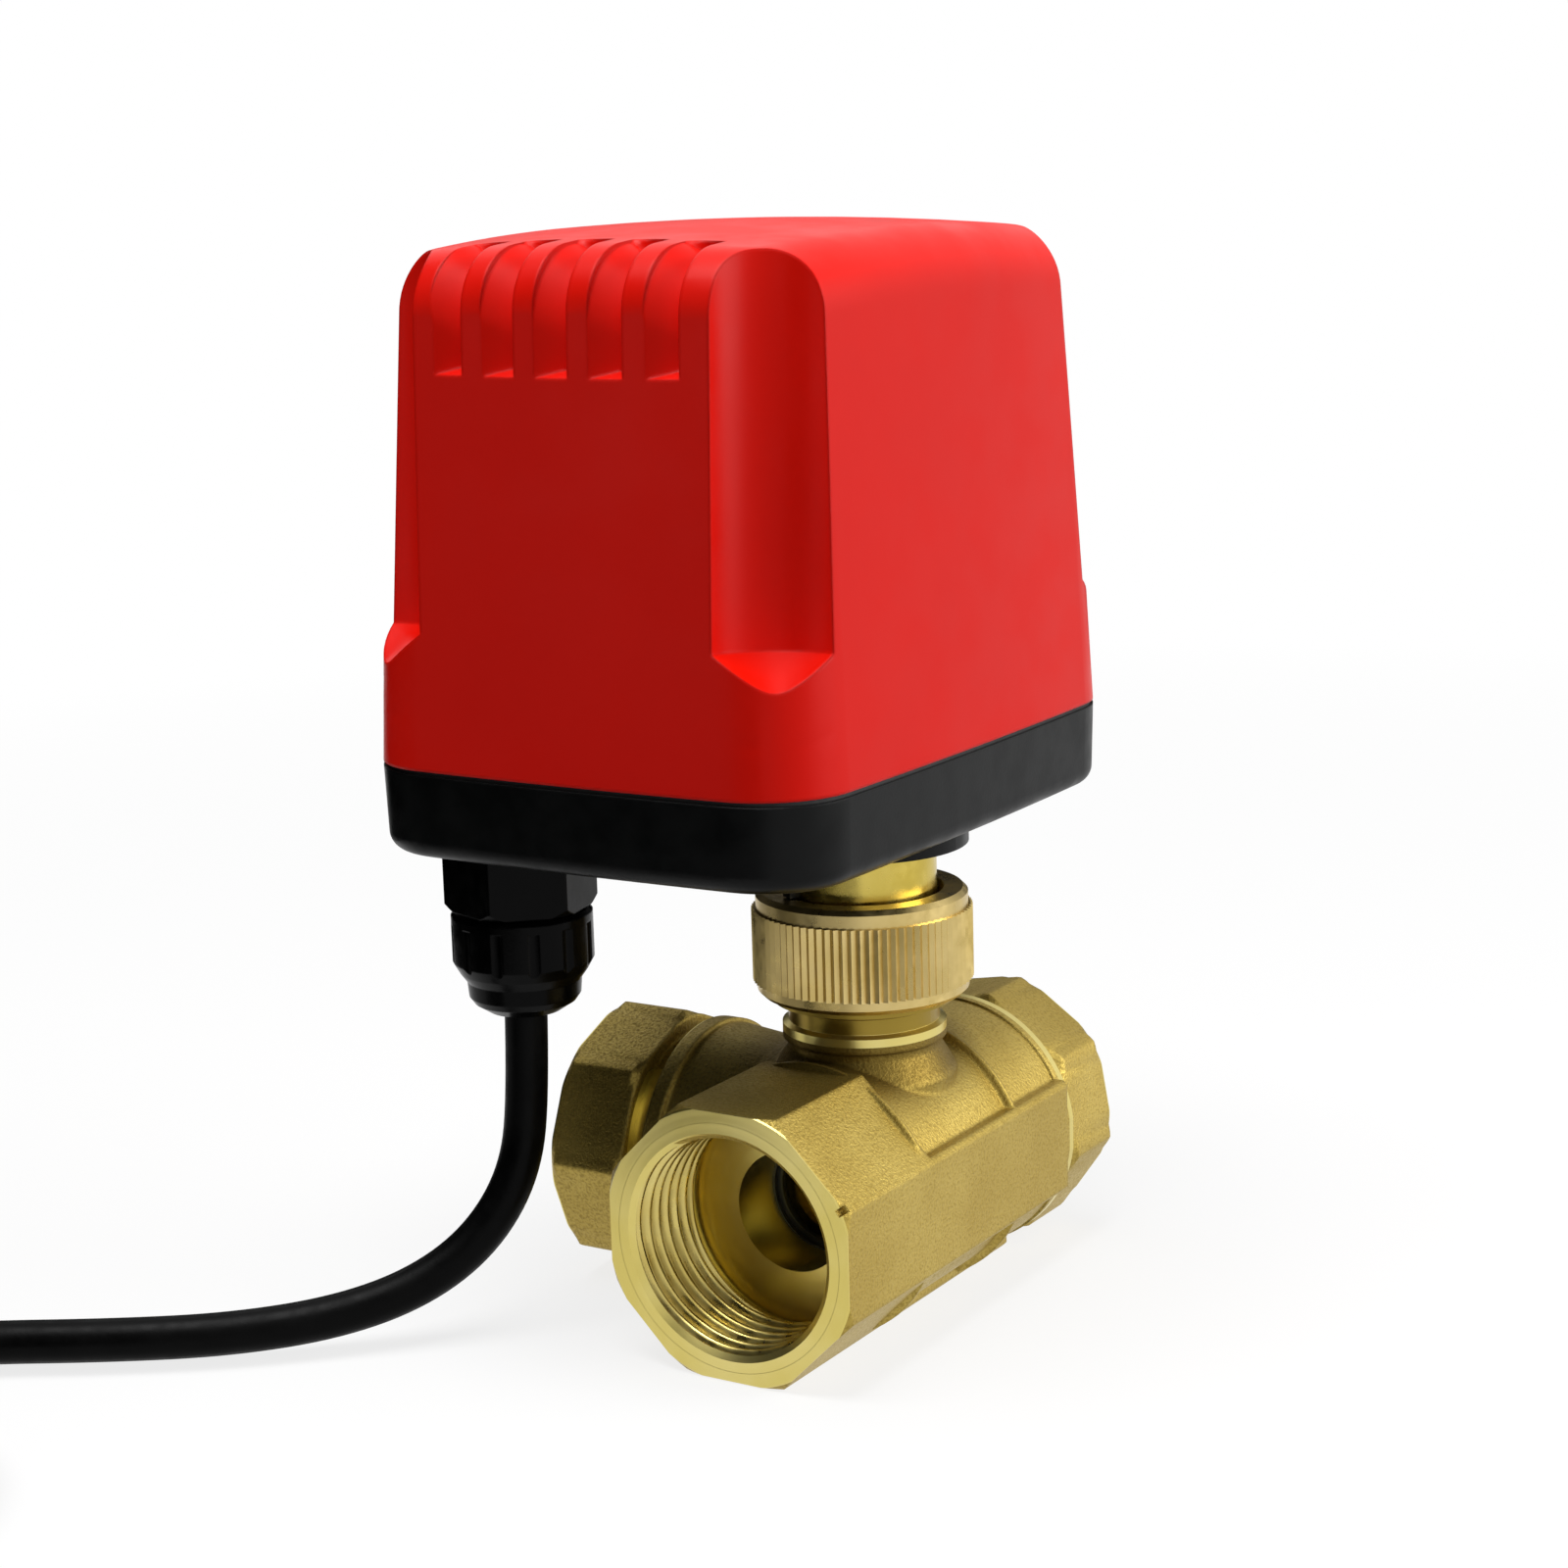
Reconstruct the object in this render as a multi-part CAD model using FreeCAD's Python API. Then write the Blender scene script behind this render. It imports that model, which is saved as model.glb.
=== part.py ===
# Three-way motorized ball valve: forged brass body with three G1 ports, a knurled union nut
# and an electric actuator in a moulded base and cover, with its cable.
# Millimetres. Z is up, the origin lies under the stem on the surface the valve stands on,
# the straight run lies along Y and the branch points to -X.
import FreeCAD, Part
import math
import os

os.makedirs("parts", exist_ok=True)
Vector = FreeCAD.Vector

# Fits
running_clearance = 0.05
assembly_clearance = 0.1
seat_gap = 0.02

# Valve body and its ports
body_flats = 38.5
connector_flats = 37.7
front_reach = 38.5
far_reach = 42.0
branch_reach = 43.3
far_rotation = 11.0
branch_rotation = -21.0
thread_major_radius = 16.625
port_chamfer = 1.2
octagon_end_chamfer = 1.0
front_thread_depth = 17.0
connector_thread_depth = 11.0
waterway_radius = 8.8
axis_height = body_flats / 2
chamber_front = -15.5
chamber_back = 11.4
body_barrel_radius = 19.1
chamber_rib_radius = 20.2
chamber_rib_width = 1.6
side_pad_half_height = 8.6
nick_size = 1.1
nick_up = 8.1
far_collar_start = 26.2
far_collar_end = 28.6
branch_collar_start = 24.9
branch_collar_end = 27.4
far_collar_radius = 19.4
branch_root_radius = 17.5
branch_flare_start = 14.0
branch_flare_radius = 18.7
branch_collar_radius = 19.2
groove_radius = 16.7
far_octagon_start = 29.2
branch_octagon_start = 30.6
connector_thread_radius = 15.0
connector_bore_step = 14.8
connector_pilot_radius = 12.0
seat_cup_radius = 10.5
seat_cup_start = 10.7

# Ball, seats and stem
ball_radius = 13.0
ball_port_radius = 8.0
chamber_radius = 13.5
seat_outer_radius = 9.8
seat_near = 9.9
seat_far = 12.3
seat_lip_radius = 7.7
seat_step_radius = 8.5
seat_step = 11.5
stem_radius = 5.0
stem_foot_radius = 6.4
stem_foot_bottom = 30.2
stem_foot_height = 2.4
stem_washer_thickness = 0.8
stem_top = 59.0
tongue_width = 3.0
tongue_length = 8.0
tongue_bottom = 28.2
stem_flat_width = 6.0
stem_flat_length = 9.0
stem_ring_heights = (41.0, 45.5)
stem_ring_section = 0.8

# Neck, sleeve and union nut
neck_bottom_radius = 13.4
neck_top_radius = 11.2
neck_cone_top = 38.6
neck_collar_radius = 11.9
neck_collar_bottom = 39.6
neck_collar_top = 42.6
spigot_undercut_radius = 11.0
spigot_radius = 13.2
spigot_bottom = 44.8
spigot_top = 55.6
spigot_bore_radius = 8.6
spigot_bore_bottom = 48.6
sleeve_flange_radius = 13.1
sleeve_flange_height = 2.6
sleeve_radius = 10.9
sleeve_bore_radius = 8.45
sleeve_thread_radius = 9.9
sleeve_shoulder_depth = 1.3
sleeve_thread_length = 9.0
nut_radius = 16.0
nut_band_radius = 15.35
nut_bottom = 46.6
nut_top = 61.8
nut_lower_band = 2.0
nut_upper_band = 2.6
nut_lip_radius = 11.9
nut_lip_height = 3.0
nut_ridges = 80
nut_ridge_depth = 0.45
nut_edge_chamfer = 0.7
coupling_radius = 7.6
coupling_bottom = 50.6
coupling_top = 67.0
key_width = 2.0
key_height = 2.4
key_bottom = 61.95
key_angle = -118.0
key_reach = 1.6

# Actuator base and cover
box_left = -54.5
box_right = 20.5
box_front = -48.7
box_back = 45.3
side_bow = 1.1
corner_radius = 12.5
base_bottom = 71.7
base_height = 12.0
base_taper = 0.3
base_floor = 3.0
base_wall = 2.6
base_edge_round = 2.6
collar_radius = 15.6
collar_drop = 3.15
gasket_thickness = 0.6
gasket_inset = 0.35
gasket_width = 1.8
cover_height = 70.2
cover_draft_angle = 2.5
cover_crown = 2.2
cover_wall = 2.2
cover_edge_round = 9.0
crown_radius = 400.0
channel_radius = 9.8
channel_in_x = 4.2
channel_in_y = 1.7
channel_floor_height = 18.9
channel_slope = 34.0
channel_lean = 3.2
vent_count = 5
vent_pitch = 8.6
vent_width = 5.3
vent_first = -37.6
vent_bottom_height = 53.7
vent_depth = 3.0
vent_ledge_slope = 0.45
vent_top_run = 14.5
vent_round = 10.5
boss_inset = 7.6
boss_radius = 4.0
boss_height = 12.0
screw_radius = 1.5
screw_head_radius = 2.8
screw_head_height = 2.0
screw_length = 22.0

# Gear train: module and teeth of each gear
gear_module = 0.8
output_teeth = 38
idler_small_teeth = 12
idler_large_teeth = 32
pinion_teeth = 12
gear_backlash = 0.24
idler_direction = 151.0
pinion_direction = 165.0
motor_ear_direction = 130.0
output_gear_above = 12.5
output_gear_thickness = 3.6
idler_large_gap = 1.2
idler_large_thickness = 2.6
gear_hub_radius = 6.6
shaft_radius = 4.0
shaft_above = 38.3
square_side = 5.4
pin_radius = 1.5
plate_thickness = 1.5
lower_plate_above = 8.9
upper_plate_above = 22.9
plate_left = -49.6
plate_right = 14.6
plate_front = -22.0
plate_back = 31.0
plate_corner_radius = 4.0
post_places = ((-45.5, -17.4), (10.0, -17.4), (10.0, 25.4), (-12.0, 26.4))
post_radius = 3.0
floor_boss_height = 2.5
bush_radius = 6.0
bush_flange = 1.2
sleeve_nut_radius = 14.4
sleeve_nut_height = 3.6
motor_radius = 14.0
motor_height = 21.0
motor_flange_thickness = 1.6
motor_screw_reach = 17.1
motor_shaft_radius = 2.0

# Cams and limit switches
cam_low_radius = 8.0
cam_high_radius = 9.5
cam_thickness = 3.0
lower_cam_above = 26.7
upper_cam_above = 33.1
cam_hub_radius = 5.6
cam_gap = 0.25
switch_length = 20.0
switch_depth = 10.0
switch_thickness = 5.6
lever_length = 14.0
lever_tip = 0.8
lever_thickness = 0.5
lever_width = 3.2
lever_barrel_radius = 0.7
plunger_distance = 5.0
plunger_size = 1.8
plunger_stand = 1.1
terminal_length = 24.0
terminal_width = 9.0
terminal_height = 9.0
terminal_x = -18.0
terminal_y = -34.0
terminal_ways = 5

# Cable gland and cable
gland_x = -37.8
gland_y = -31.0
gland_flats = 19.0
gland_locknut_flats = 17.0
gland_locknut_turn = 50.0
gland_thread_radius = 7.6
gland_bore_radius = 4.6
gland_nut_height = 4.6
gland_hexagon_height = 9.7
gland_cap_height = 15.1
gland_cap_radius = 10.1
gland_cap_shoulder_height = 6.7
gland_cap_taper_height = 4.5
gland_dome_radius = 8.0
gland_mouth_radius = 3.9
gland_thread_length = 12.5
gland_ribs = 12
cable_radius = 3.1
cable_stub = 8.0
coil_sides = (0.0, 65.8, 6.8, 55.0, 16.2, 59.0, 6.8, 65.8, 0.0)
coil_layer = 6.8
coil_climb = 3
coil_tail = 8.0
core_radius = 1.05
core_length = 18.0
core_bend_radius = 36.3
tie_width = 4.0
tie_thickness = 0.9
tie_gap = 0.1

# Worked-out places
base_top = base_bottom + base_height
cover_bottom = base_top + gasket_thickness
sleeve_shoulder = base_bottom - sleeve_shoulder_depth
sleeve_top = sleeve_shoulder + sleeve_thread_length
shaft_top = base_bottom + shaft_above
output_gear_bottom = base_bottom + output_gear_above
lower_plate_bottom = base_bottom + lower_plate_above
upper_plate_bottom = base_bottom + upper_plate_above
lower_cam_bottom = base_bottom + lower_cam_above
upper_cam_bottom = base_bottom + upper_cam_above
channel_floor = cover_bottom + channel_floor_height
vent_bottom = cover_bottom + vent_bottom_height
gland_body_bottom = base_bottom - gland_hexagon_height
gland_cap_bottom = gland_body_bottom - gland_cap_height
gland_cap_shoulder = gland_cap_bottom + gland_cap_shoulder_height
gland_cap_taper = gland_cap_bottom + gland_cap_taper_height
coil_clear_height = tie_thickness + tie_gap + cable_radius
cable_route = (
    (gland_x, gland_y, gland_cap_bottom + 1.5),
    (-38.0, -31.2, 33.0),
    (-38.3, -34.0, 22.5),
    (-41.5, -39.5, 14.0),
    (-47.5, -46.5, 8.2),
    (-56.0, -55.0, 5.0),
    (-67.0, -65.5, coil_clear_height),
    (-81.0, -75.3, coil_clear_height),
    (-98.0, -85.0, coil_clear_height),
    (-113.5, -97.5, coil_clear_height),
    (-122.8, -115.5, coil_clear_height),
    (-122.8, -133.0, coil_clear_height),
)
box_centre_x = (box_left + box_right) / 2
box_centre_y = (box_front + box_back) / 2
box_half_x = (box_right - box_left) / 2
box_half_y = (box_back - box_front) / 2
cover_edge_top = cover_bottom + cover_height
cover_top = cover_edge_top + cover_crown
cover_draft = math.tan(math.radians(cover_draft_angle))
floor_top = base_bottom + base_floor
boss_places = [
    (x, y)
    for x in (box_left + boss_inset, box_right - boss_inset)
    for y in (box_front + boss_inset, box_back - boss_inset)
]
idler_distance = gear_module * (output_teeth + idler_small_teeth) / 2
pinion_distance = gear_module * (idler_large_teeth + pinion_teeth) / 2
idler_x = idler_distance * math.cos(math.radians(idler_direction))
idler_y = idler_distance * math.sin(math.radians(idler_direction))
pinion_x = idler_x + pinion_distance * math.cos(math.radians(pinion_direction))
pinion_y = idler_y + pinion_distance * math.sin(math.radians(pinion_direction))
lower_plate_top = lower_plate_bottom + plate_thickness
upper_plate_top = upper_plate_bottom + plate_thickness
output_gear_top = output_gear_bottom + output_gear_thickness
idler_large_bottom = output_gear_top + idler_large_gap
idler_large_top = idler_large_bottom + idler_large_thickness
lever_swing = math.degrees(math.asin((cam_high_radius - cam_low_radius) / lever_length))
lever_face_y = -(cam_high_radius + cam_gap)
switch_face_y = lever_face_y - lever_thickness - plunger_stand


def save(name, shape):
    shape.exportStep("parts/%s.step" % name)
    return shape


def rod(radius, bottom, top, x=0.0, y=0.0):
    return Part.makeCylinder(radius, top - bottom, Vector(x, y, bottom))


def tube(outer, inner, bottom, top, x=0.0, y=0.0):
    return rod(outer, bottom, top, x, y).cut(rod(inner, bottom - 1, top + 1, x, y))


def rod_along(direction, radius, start, end):
    """Cylinder about the valve axis, from start to end along +Y, +X or -X."""
    origin = Vector(0, 0, axis_height) + direction * start
    return Part.makeCylinder(radius, end - start, origin, direction)


def block(x0, x1, y0, y1, z0, z1):
    return Part.makeBox(x1 - x0, y1 - y0, z1 - z0, Vector(x0, y0, z0))


def revolved(points, x=0.0, y=0.0):
    """Solid of revolution about a vertical axis through x, y from (radius, height) points."""
    corners = [Vector(x + r, y, z) for r, z in points]
    face = Part.Face(Part.makePolygon(corners + corners[:1]))
    return face.revolve(Vector(x, y, 0), Vector(0, 0, 1), 360)


def revolved_along(direction, points):
    """Solid of revolution about the valve axis from (radius, distance) points."""
    solid = revolved(points)
    turn = FreeCAD.Rotation(Vector(0, 0, 1), direction)
    solid.Placement = FreeCAD.Placement(Vector(0, 0, axis_height), turn)
    return solid


def prism(points, bottom, top):
    corners = [Vector(x, y, bottom) for x, y in points]
    face = Part.Face(Part.makePolygon(corners + corners[:1]))
    return face.extrude(Vector(0, 0, top - bottom))


def polygon_points(flats, sides, turn=0.0, x=0.0, y=0.0):
    reach = flats / 2 / math.cos(math.pi / sides)
    angles = [math.radians(turn) + (k + 0.5) * 2 * math.pi / sides for k in range(sides)]
    return [(x + reach * math.cos(a), y + reach * math.sin(a)) for a in angles]


def octagon_along(direction, flats, start, end, turn=0.0):
    """Octagonal bar about the valve axis; a flat faces down when turn is zero."""
    side = Vector(0, 0, 1).cross(direction)
    corners = []
    for across, up in polygon_points(flats, 8, turn):
        corners.append(Vector(0, 0, axis_height + up) + side * across + direction * start)
    face = Part.Face(Part.makePolygon(corners + corners[:1]))
    return face.extrude(direction * (end - start))


def port_bore(direction, reach, depth, through):
    """Threaded pocket with a lead-in chamfer and the waterway behind it."""
    pocket = rod_along(direction, thread_major_radius, reach - depth, reach + 1)
    mouth = revolved_along(direction, [
        (0, reach - port_chamfer),
        (thread_major_radius, reach - port_chamfer),
        (thread_major_radius + port_chamfer, reach + 0.01),
        (0, reach + 0.01),
    ])
    waterway = rod_along(direction, waterway_radius, through, reach)
    return pocket.fuse([mouth, waterway])


def chamfered_octagon(direction, flats, start, end, turn=0.0):
    """Octagon whose corners are turned down to the body's flats and chamfered at its face."""
    bar = octagon_along(direction, flats, start, end, turn)
    limit = body_flats / 2
    turned = revolved_along(direction, [
        (0, start), (limit, start), (limit, end - octagon_end_chamfer),
        (limit - octagon_end_chamfer, end), (0, end),
    ])
    return bar.common(turned)


front, far, branch = Vector(0, -1, 0), Vector(0, 1, 0), Vector(-1, 0, 0)


def valve_body():
    face_radius = body_flats / 2 / math.cos(math.pi / 8)
    front_bar = octagon_along(front, body_flats, -chamber_front - 1, front_reach)
    front_turn = revolved_along(front, [
        (0, -chamber_front - 1), (face_radius, -chamber_front - 1),
        (face_radius, front_reach - octagon_end_chamfer),
        (face_radius - octagon_end_chamfer, front_reach), (0, front_reach),
    ])
    barrel_octagon = octagon_along(far, body_flats, chamber_front - 1, far_collar_end)
    barrel = rod_along(far, body_barrel_radius, chamber_front - 1, far_collar_start + 0.5)
    barrel = barrel.common(barrel_octagon)
    pads = block(-body_flats / 2, body_flats / 2, chamber_front - 1, far_collar_start + 0.5,
                 axis_height - side_pad_half_height, axis_height + side_pad_half_height)
    pads = pads.fuse(block(-side_pad_half_height, side_pad_half_height, chamber_front - 1,
                           far_collar_start + 0.5, 0, axis_height))
    pads = pads.common(barrel_octagon)
    ribs = []
    for place in (chamber_front, chamber_back):
        half = chamber_rib_width / 2
        ribs.append(revolved_along(far, [
            (chamber_radius + 1, place - half), (body_barrel_radius - 0.1, place - half),
            (chamber_rib_radius, place - half * 0.4), (chamber_rib_radius, place + half * 0.4),
            (body_barrel_radius - 0.1, place + half), (chamber_radius + 1, place + half),
        ]))
    nick = block(-nick_size / 2, nick_size * 1.5, -front_reach - 1, nick_size - front_reach,
                 -nick_size / 2, nick_size / 2)
    nick.rotate(Vector(0, 0, 0), front, 35)
    nick.translate(Vector(body_flats / 2 - nick_size, 0, axis_height + nick_up))
    far_collar = rod_along(far, far_collar_radius, far_collar_start, far_collar_end)
    branch_barrel = revolved_along(branch, [
        (0, 0), (branch_root_radius, 0), (branch_root_radius, branch_flare_start),
        (branch_flare_radius, branch_collar_start + 0.5), (0, branch_collar_start + 0.5),
    ])
    branch_collar = rod_along(branch, branch_collar_radius, branch_collar_start, branch_collar_end)
    neck = revolved([
        (0, axis_height), (neck_bottom_radius, axis_height), (neck_bottom_radius, 35.0),
        (neck_top_radius, neck_cone_top), (neck_top_radius, neck_collar_bottom),
        (neck_collar_radius, neck_collar_bottom + 0.4), (neck_collar_radius, neck_collar_top - 0.4),
        (spigot_undercut_radius, neck_collar_top), (spigot_undercut_radius, spigot_bottom),
        (spigot_radius, spigot_bottom + 0.8), (spigot_radius, spigot_top - 0.8),
        (spigot_radius - 0.8, spigot_top), (0, spigot_top),
    ])
    solid = front_bar.common(front_turn)
    solid = solid.fuse([barrel, pads, far_collar, branch_barrel, branch_collar, neck] + ribs)
    side = body_flats / 2
    solid = solid.common(block(-branch_reach, side, -front_reach, far_reach, 0, spigot_top))
    chamber = rod_along(far, chamber_radius, -seat_near, far_reach)
    far_thread = rod_along(far, connector_thread_radius, connector_bore_step, far_reach)
    branch_pilot = rod_along(branch, connector_pilot_radius, 0, branch_reach)
    branch_thread = rod_along(branch, connector_thread_radius, connector_bore_step, branch_reach)
    front_pocket = rod_along(front, seat_outer_radius + seat_gap, 0, seat_far + seat_gap)
    stem_hole = rod(stem_radius + running_clearance, axis_height, spigot_top + 1)
    foot_hole = rod(stem_foot_radius + assembly_clearance, axis_height,
                    stem_foot_bottom + stem_foot_height + stem_washer_thickness + seat_gap)
    coupling_hole = rod(spigot_bore_radius, spigot_bore_bottom, spigot_top + 1)
    cuts = [nick, chamber, far_thread, branch_pilot, branch_thread, front_pocket,
            stem_hole, foot_hole, coupling_hole,
            port_bore(front, front_reach, front_thread_depth, 0)]
    for cut in cuts:
        solid = solid.cut(cut)
    return solid.removeSplitter()


def connector(direction, reach, collar_end, octagon_start, turn):
    """Screwed end: octagon with the G1 thread, a groove, and a threaded nose with its seat face."""
    nose = connector_thread_radius - running_clearance
    pilot = connector_pilot_radius - running_clearance
    shoulder = collar_end + gasket_thickness
    cup, step = seat_outer_radius + seat_gap, connector_bore_step + 0.2
    core = revolved_along(direction, [
        (0, seat_far), (cup, seat_far), (cup, seat_cup_start), (seat_cup_radius, seat_cup_start),
        (seat_cup_radius, seat_far), (pilot - 0.3, seat_far), (pilot, seat_far + 0.3),
        (pilot, step), (nose, step), (nose, shoulder), (groove_radius, shoulder),
        (groove_radius, octagon_start + 0.5), (0, octagon_start + 0.5),
    ])
    octagon = chamfered_octagon(direction, connector_flats, octagon_start, reach, turn)
    solid = core.fuse(octagon)
    solid = solid.cut(port_bore(direction, reach, connector_thread_depth, seat_far - 1))
    return solid.removeSplitter()


def connector_gasket(direction, collar_end):
    outer = rod_along(direction, groove_radius + 0.5, collar_end, collar_end + gasket_thickness)
    return outer.cut(rod_along(direction, connector_thread_radius, collar_end - 1, collar_end + 2))


def ball():
    """Ball with an L-shaped waterway from the far port to the branch and the stem slot on top."""
    centre = Vector(0, 0, axis_height)
    solid = Part.makeSphere(ball_radius, centre)
    solid = solid.cut(rod_along(far, ball_port_radius, 0, ball_radius + 1))
    solid = solid.cut(rod_along(branch, ball_port_radius, 0, ball_radius + 1))
    solid = solid.cut(Part.makeSphere(ball_port_radius, centre))
    flat_top, crown = stem_foot_bottom - seat_gap, axis_height + ball_radius + 1
    solid = solid.cut(block(-ball_radius, ball_radius, -ball_radius, ball_radius, flat_top, crown))
    half = tongue_width / 2 + assembly_clearance
    return solid.cut(block(-ball_radius, ball_radius, -half, half, tongue_bottom - seat_gap, crown))


def seat(direction):
    """PTFE seat ring with a conical face that meets the ball."""
    lip_distance = math.sqrt((ball_radius + seat_gap) ** 2 - seat_lip_radius ** 2)
    return revolved_along(direction, [
        (seat_lip_radius, lip_distance), (seat_outer_radius, seat_near),
        (seat_outer_radius, seat_far), (seat_step_radius, seat_far),
        (seat_step_radius, seat_step), (seat_lip_radius, seat_step),
    ])


def stem():
    solid = revolved([
        (0, stem_foot_bottom), (stem_foot_radius, stem_foot_bottom),
        (stem_foot_radius, stem_foot_bottom + stem_foot_height),
        (stem_radius, stem_foot_bottom + stem_foot_height),
        (stem_radius, stem_top - 0.6), (stem_radius - 0.6, stem_top), (0, stem_top),
    ])
    half_width, half_length = tongue_width / 2, tongue_length / 2
    tongue = block(-half_length, half_length, -half_width, half_width,
                   tongue_bottom, stem_foot_bottom + 0.5)
    solid = solid.fuse(tongue)
    half_flat = stem_flat_width / 2
    for side in (1, -1):
        near, away = side * half_flat, side * 2 * stem_radius
        solid = solid.cut(block(-20, 20, min(near, away), max(near, away),
                                coupling_bottom, stem_top + 1))
    for height in stem_ring_heights:
        solid = solid.cut(tube(stem_radius + 1, stem_radius - 2 * stem_ring_section,
                               height - stem_ring_section, height + stem_ring_section))
    return solid


def stem_rings():
    rings = []
    for height in stem_ring_heights:
        section = stem_ring_section - seat_gap
        middle = stem_radius - stem_ring_section
        rings.append(Part.makeTorus(middle, section - seat_gap, Vector(0, 0, height)))
    return Part.makeCompound(rings)


def stem_washer():
    bottom = stem_foot_bottom + stem_foot_height
    return tube(stem_foot_radius, stem_radius + running_clearance, bottom + seat_gap,
                bottom + stem_washer_thickness)


def adapter_sleeve():
    flange_top = spigot_top + sleeve_flange_height
    solid = revolved([
        (sleeve_bore_radius, spigot_top), (sleeve_flange_radius, spigot_top),
        (sleeve_flange_radius, flange_top - 0.3), (sleeve_flange_radius - 0.3, flange_top),
        (sleeve_radius, flange_top),
        (sleeve_radius, sleeve_shoulder), (sleeve_thread_radius, sleeve_shoulder),
        (sleeve_thread_radius, sleeve_top), (sleeve_bore_radius, sleeve_top),
    ])
    return solid.cut(key_block(assembly_clearance))


def key_block(grow):
    """Small locating key let into the sleeve just above the nut."""
    half = key_width / 2 + grow
    solid = block(sleeve_radius - 1.2 - grow, sleeve_radius + key_reach, -half, half,
                  key_bottom - grow, key_bottom + key_height + grow)
    solid.rotate(Vector(0, 0, 0), Vector(0, 0, 1), key_angle)
    return solid


def union_nut():
    """Round nut with a straight knurl between two plain bands and a lip over the sleeve flange."""
    knurl = []
    count = nut_ridges * 2
    for k in range(count):
        radius = nut_radius if k % 2 else nut_radius - nut_ridge_depth
        angle = 2 * math.pi * k / count
        knurl.append((radius * math.cos(angle), radius * math.sin(angle)))
    grip_bottom, grip_top = nut_bottom + nut_lower_band, nut_top - nut_upper_band
    solid = prism(knurl, grip_bottom, grip_top)
    bands = revolved([
        (0, nut_bottom), (nut_band_radius - nut_edge_chamfer, nut_bottom),
        (nut_band_radius, nut_bottom + nut_edge_chamfer), (nut_band_radius, nut_top - nut_edge_chamfer),
        (nut_band_radius - nut_edge_chamfer, nut_top), (0, nut_top),
    ])
    solid = solid.fuse(bands)
    lip_bottom = nut_top - nut_lip_height
    solid = solid.cut(rod(spigot_radius + running_clearance, nut_bottom - 1, lip_bottom))
    return solid.cut(rod(nut_lip_radius, lip_bottom - 1, nut_top + 1))


def drive_coupling():
    """Steel dog: a slot takes the stem flats, a square hole takes the output shaft."""
    solid = rod(coupling_radius, coupling_bottom, coupling_top)
    half_flat = stem_flat_width / 2 + running_clearance
    slot = rod(stem_radius + running_clearance, coupling_bottom - 1, stem_top + 0.4)
    slot = slot.common(block(-20, 20, -half_flat, half_flat, coupling_bottom - 1, stem_top + 1))
    half = square_side / 2 + running_clearance
    square = block(-half, half, -half, half, stem_top + 1.4, coupling_top + 1)
    return solid.cut(slot).cut(square)


def outline(inset, height):
    """Rounded rectangle with bowed sides, as eight tangent arcs about the box centre."""
    half_x, half_y, corner = box_half_x - inset, box_half_y - inset, corner_radius - inset * 0.5
    bow_x = (half_y ** 2 + side_bow ** 2) / (2 * side_bow)
    bow_y = (half_x ** 2 + side_bow ** 2) / (2 * side_bow)
    side_centre, front_centre = half_x - bow_x, half_y - bow_y
    reach_side, reach_front = bow_x - corner, bow_y - corner
    # corner circle centre: reach_side from (side_centre, 0) and reach_front from (0, front_centre)
    span = math.hypot(side_centre, front_centre)
    along = (reach_side ** 2 - reach_front ** 2 + span ** 2) / (2 * span)
    off = math.sqrt(reach_side ** 2 - along ** 2)
    ux, uy = -side_centre / span, front_centre / span
    corners = [(side_centre + along * ux - s * off * uy, along * uy + s * off * ux) for s in (1, -1)]
    cx, cy = max(corners, key=lambda point: point[0] + point[1])
    to_side = math.atan2(cy, cx - side_centre)
    to_front = math.atan2(cy - front_centre, cx)
    side_end = (side_centre + bow_x * math.cos(to_side), bow_x * math.sin(to_side))
    front_end = (bow_y * math.cos(to_front), front_centre + bow_y * math.sin(to_front))
    middle = (to_side + to_front) / 2
    corner_mid = (cx + corner * math.cos(middle), cy + corner * math.sin(middle))

    def place(x, y):
        return Vector(box_centre_x + x, box_centre_y + y, height)

    def arc(a, b, c):
        return Part.Arc(place(*a), place(*b), place(*c)).toShape()

    sx, sy = side_end
    fx, fy = front_end
    mx, my = corner_mid
    edges = [
        arc((sx, -sy), (half_x, 0), (sx, sy)), arc((sx, sy), (mx, my), (fx, fy)),
        arc((fx, fy), (0, half_y), (-fx, fy)), arc((-fx, fy), (-mx, my), (-sx, sy)),
        arc((-sx, sy), (-half_x, 0), (-sx, -sy)), arc((-sx, -sy), (-mx, -my), (-fx, -fy)),
        arc((-fx, -fy), (0, -half_y), (fx, -fy)), arc((fx, -fy), (mx, -my), (sx, -sy)),
    ]
    return Part.Wire(edges)


def tapered_box(levels):
    """Loft through outlines given as (inset, height)."""
    return Part.makeLoft([outline(inset, height) for inset, height in levels], True, True)


def mirrored_corners(tool):
    """The tool made for the right front corner, repeated at the other three."""
    copies = [tool]
    for normal in (Vector(1, 0, 0), Vector(0, 1, 0)):
        centre = Vector(box_centre_x, box_centre_y, 0)
        copies += [copy.mirror(centre, normal) for copy in copies]
    return copies


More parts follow.
